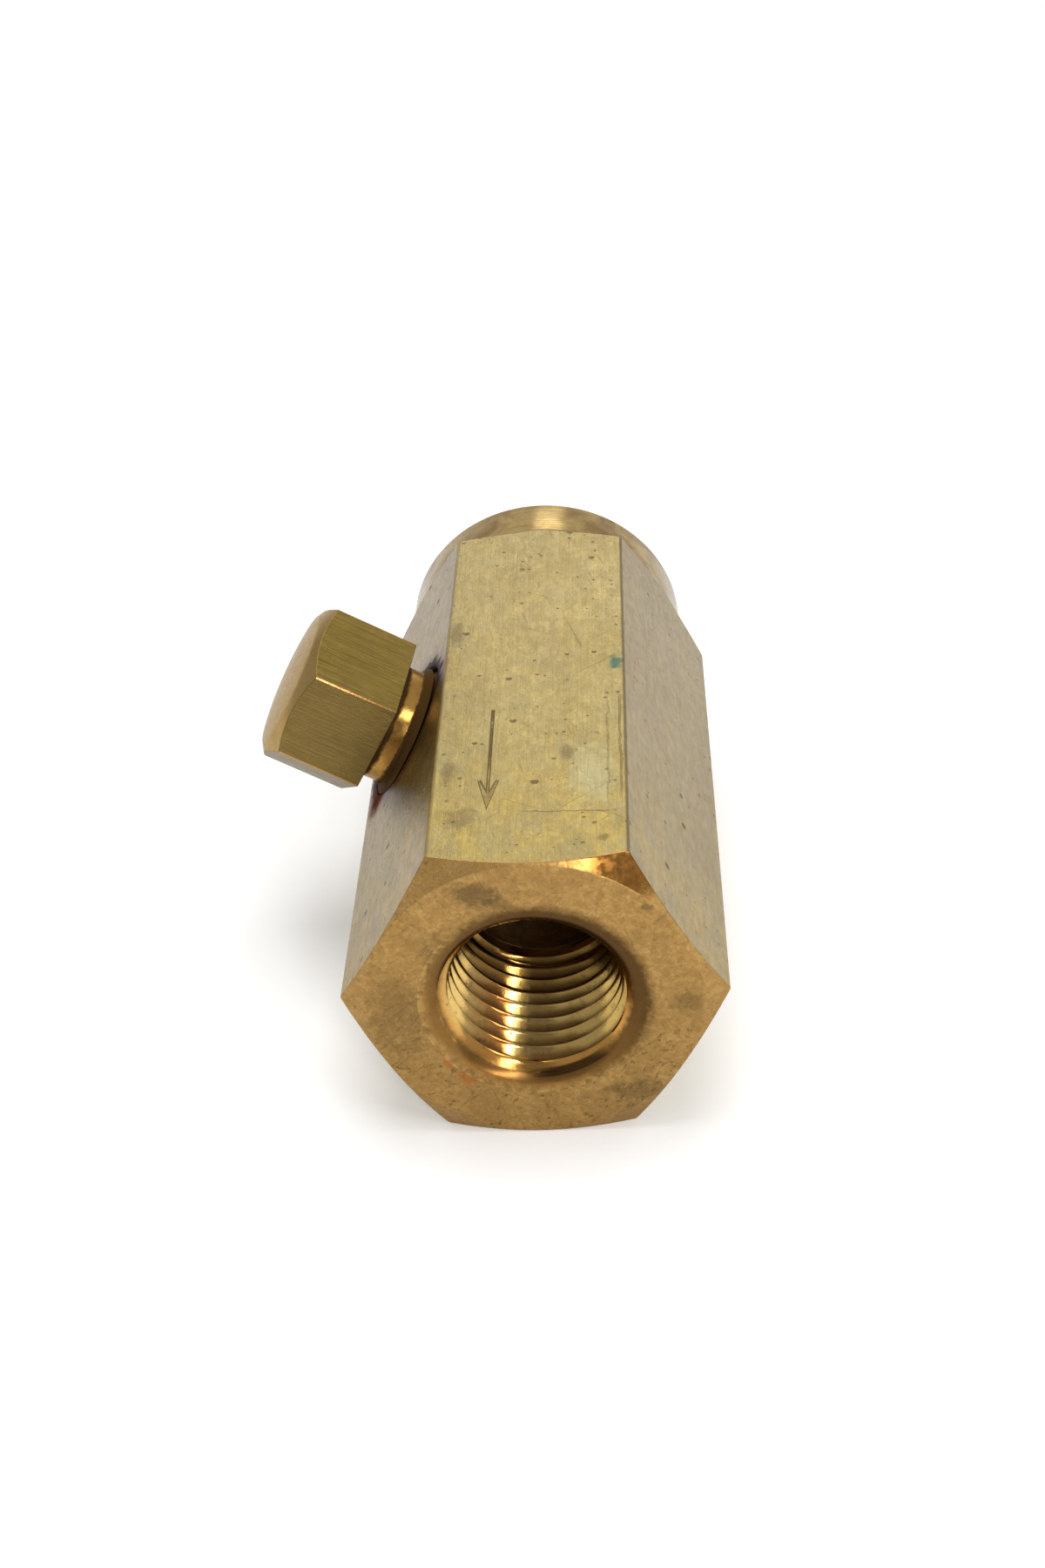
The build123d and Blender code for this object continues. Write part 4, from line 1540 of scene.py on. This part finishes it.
class VALVE_OT_stage(bpy.types.Operator):
    """Sets up the floor, the lights and the camera"""

    bl_idname = "valve.stage"
    bl_label = "Stage"

    def floor(self, stage):
        bm = bmesh.new()
        bmesh.ops.create_grid(bm, x_segments=1, y_segments=1, size=FLOOR_REACH)
        mesh = bpy.data.meshes.new("floor")
        bm.to_mesh(mesh)
        bm.free()
        floor = bpy.data.objects.new("floor", mesh)
        bpy.context.scene.collection.objects.link(floor)
        net = Finish("white_sweep", Roughness=0.6, Emission_Color=(1, 1, 1, 1))
        there = net.add("ShaderNodeTexCoord").outputs["Object"]
        away = net.vector("LENGTH", there)
        cloud = net.noise(there, scale=8.0, detail=2.0, rough=0.5)
        ray = net.add("ShaderNodeLightPath").outputs
        seen = net.most(ray["Is Camera Ray"], ray["Is Glossy Ray"], ray["Is Transmission Ray"])
        lift = net.span(net.fade(away, *FLOOR_NEAR), stage.near_lift, stage.floor_lift)
        lift = net.plus(lift, net.times(net.fade(away, *FLOOR_FAR), FLOOR_FAR_LIFT))
        colour = net.layers(stage.floor, (FLOOR_HAZE, cloud, FLOOR_HAZE_SHARE))
        mesh.materials.append(net.dress(Base_Color=colour, Emission_Strength=net.times(seen, lift)))

    def sky(self, stage):
        """White to the camera, and white behind the object in its reflections; elsewhere a dimmer room."""
        world = bpy.data.worlds.new("studio")
        bpy.context.scene.world = world
        world.use_nodes = True
        net = Wiring(world.node_tree)
        light = world.node_tree.nodes["Background"].inputs
        light["Color"].default_value = (1, 1, 1, 1)
        way = net.add("ShaderNodeTexCoord").outputs["Generated"]
        camera_side = net.fade(net.along(way, CAMERA_SIDE), *CAMERA_PATCH)
        behind = net.fade(net.along(way, LENGTHWISE), *BEHIND_PATCH)
        ray = net.add("ShaderNodeLightPath").outputs
        mirrored = net.times(ray["Is Glossy Ray"], behind)
        seen = net.most(ray["Is Camera Ray"], ray["Is Transmission Ray"], mirrored)
        net.feed(light["Strength"], net.most(net.span(camera_side, stage.room, stage.shade), seen))

    def panel(self, name, place, size, brightness):
        """A lamp that faces the middle of the object and whose surface shows this brightness."""
        width, height = size
        lamp = bpy.data.lights.new(name, "AREA")
        lamp.shape = "RECTANGLE"
        lamp.size = width
        lamp.size_y = height
        lamp.energy = brightness * math.pi * width * height
        holder = bpy.data.objects.new(name, lamp)
        holder.location = place
        ahead = Vector((0, 0, axis_height())) - Vector(place)
        holder.rotation_euler = ahead.to_track_quat("-Z", "Y").to_euler()
        bpy.context.scene.collection.objects.link(holder)

    def camera(self, stage):
        lens = bpy.data.cameras.new("camera")
        lens.lens = stage.lens
        lens.sensor_width = SENSOR_WIDTH
        lens.clip_start = CLIP_START
        camera = bpy.data.objects.new("camera", lens)
        level = math.cos(stage.elevation)
        ahead = Vector(
            (math.sin(stage.azimuth) * level, math.cos(stage.azimuth) * level, -math.sin(stage.elevation))
        )
        right = Vector((math.cos(stage.azimuth), -math.sin(stage.azimuth), 0))
        up = right.cross(ahead)
        basis = Matrix((right, up, -ahead)).transposed().to_4x4()
        camera.matrix_world = (
            Matrix.Translation(stage.camera) @ basis @ Matrix.Rotation(stage.roll, 4, "Z")
        )
        bpy.context.scene.collection.objects.link(camera)
        bpy.context.scene.camera = camera

    def execute(self, context):
        stage = context.scene.valve_stage
        context.scene.view_settings.view_transform = "Standard"
        self.floor(stage)
        self.sky(stage)
        for name, (place, size, setting) in PANELS.items():
            self.panel(name, place, size, getattr(stage, setting))
        self.camera(stage)
        return {"FINISHED"}


class VALVE_PT_panel(bpy.types.Panel):
    """Lists the valve's steps and settings"""

    bl_idname = "VALVE_PT_panel"
    bl_label = "Non-return valve"
    bl_space_type = "VIEW_3D"
    bl_region_type = "UI"
    bl_category = "Valve"

    def draw(self, context):
        for operator in OPERATORS:
            self.layout.operator(operator.bl_idname)
        for name in GROUPS:
            box = self.layout.box()
            group = getattr(context.scene, name)
            for setting in group.__annotations__:
                box.prop(group, setting)


GROUPS = {
    "valve_body": BodySizes,
    "valve_port": PortSizes,
    "valve_plug": PlugSizes,
    "valve_spring": SpringSizes,
    "valve_arrow": ArrowSizes,
    "valve_finish": Finishes,
    "valve_stage": StageSizes,
}
OPERATORS = (
    VALVE_OT_finishes,
    VALVE_OT_body,
    VALVE_OT_side_plug,
    VALVE_OT_spring,
    VALVE_OT_inner_parts,
    VALVE_OT_stage,
)


def register():
    for group in GROUPS.values():
        bpy.utils.register_class(group)
    for name, group in GROUPS.items():
        setattr(bpy.types.Scene, name, PointerProperty(type=group))
    for operator in OPERATORS:
        bpy.utils.register_class(operator)
    bpy.utils.register_class(VALVE_PT_panel)


def unregister():
    bpy.utils.unregister_class(VALVE_PT_panel)
    for operator in reversed(OPERATORS):
        bpy.utils.unregister_class(operator)
    for name, group in GROUPS.items():
        delattr(bpy.types.Scene, name)
        bpy.utils.unregister_class(group)


def main():
    register()
    bpy.ops.valve.finishes()
    bpy.ops.valve.body()
    bpy.ops.valve.side_plug()
    bpy.ops.valve.spring()
    bpy.ops.valve.inner_parts()
    bpy.ops.valve.stage()


if __name__ == "__main__":
    main()
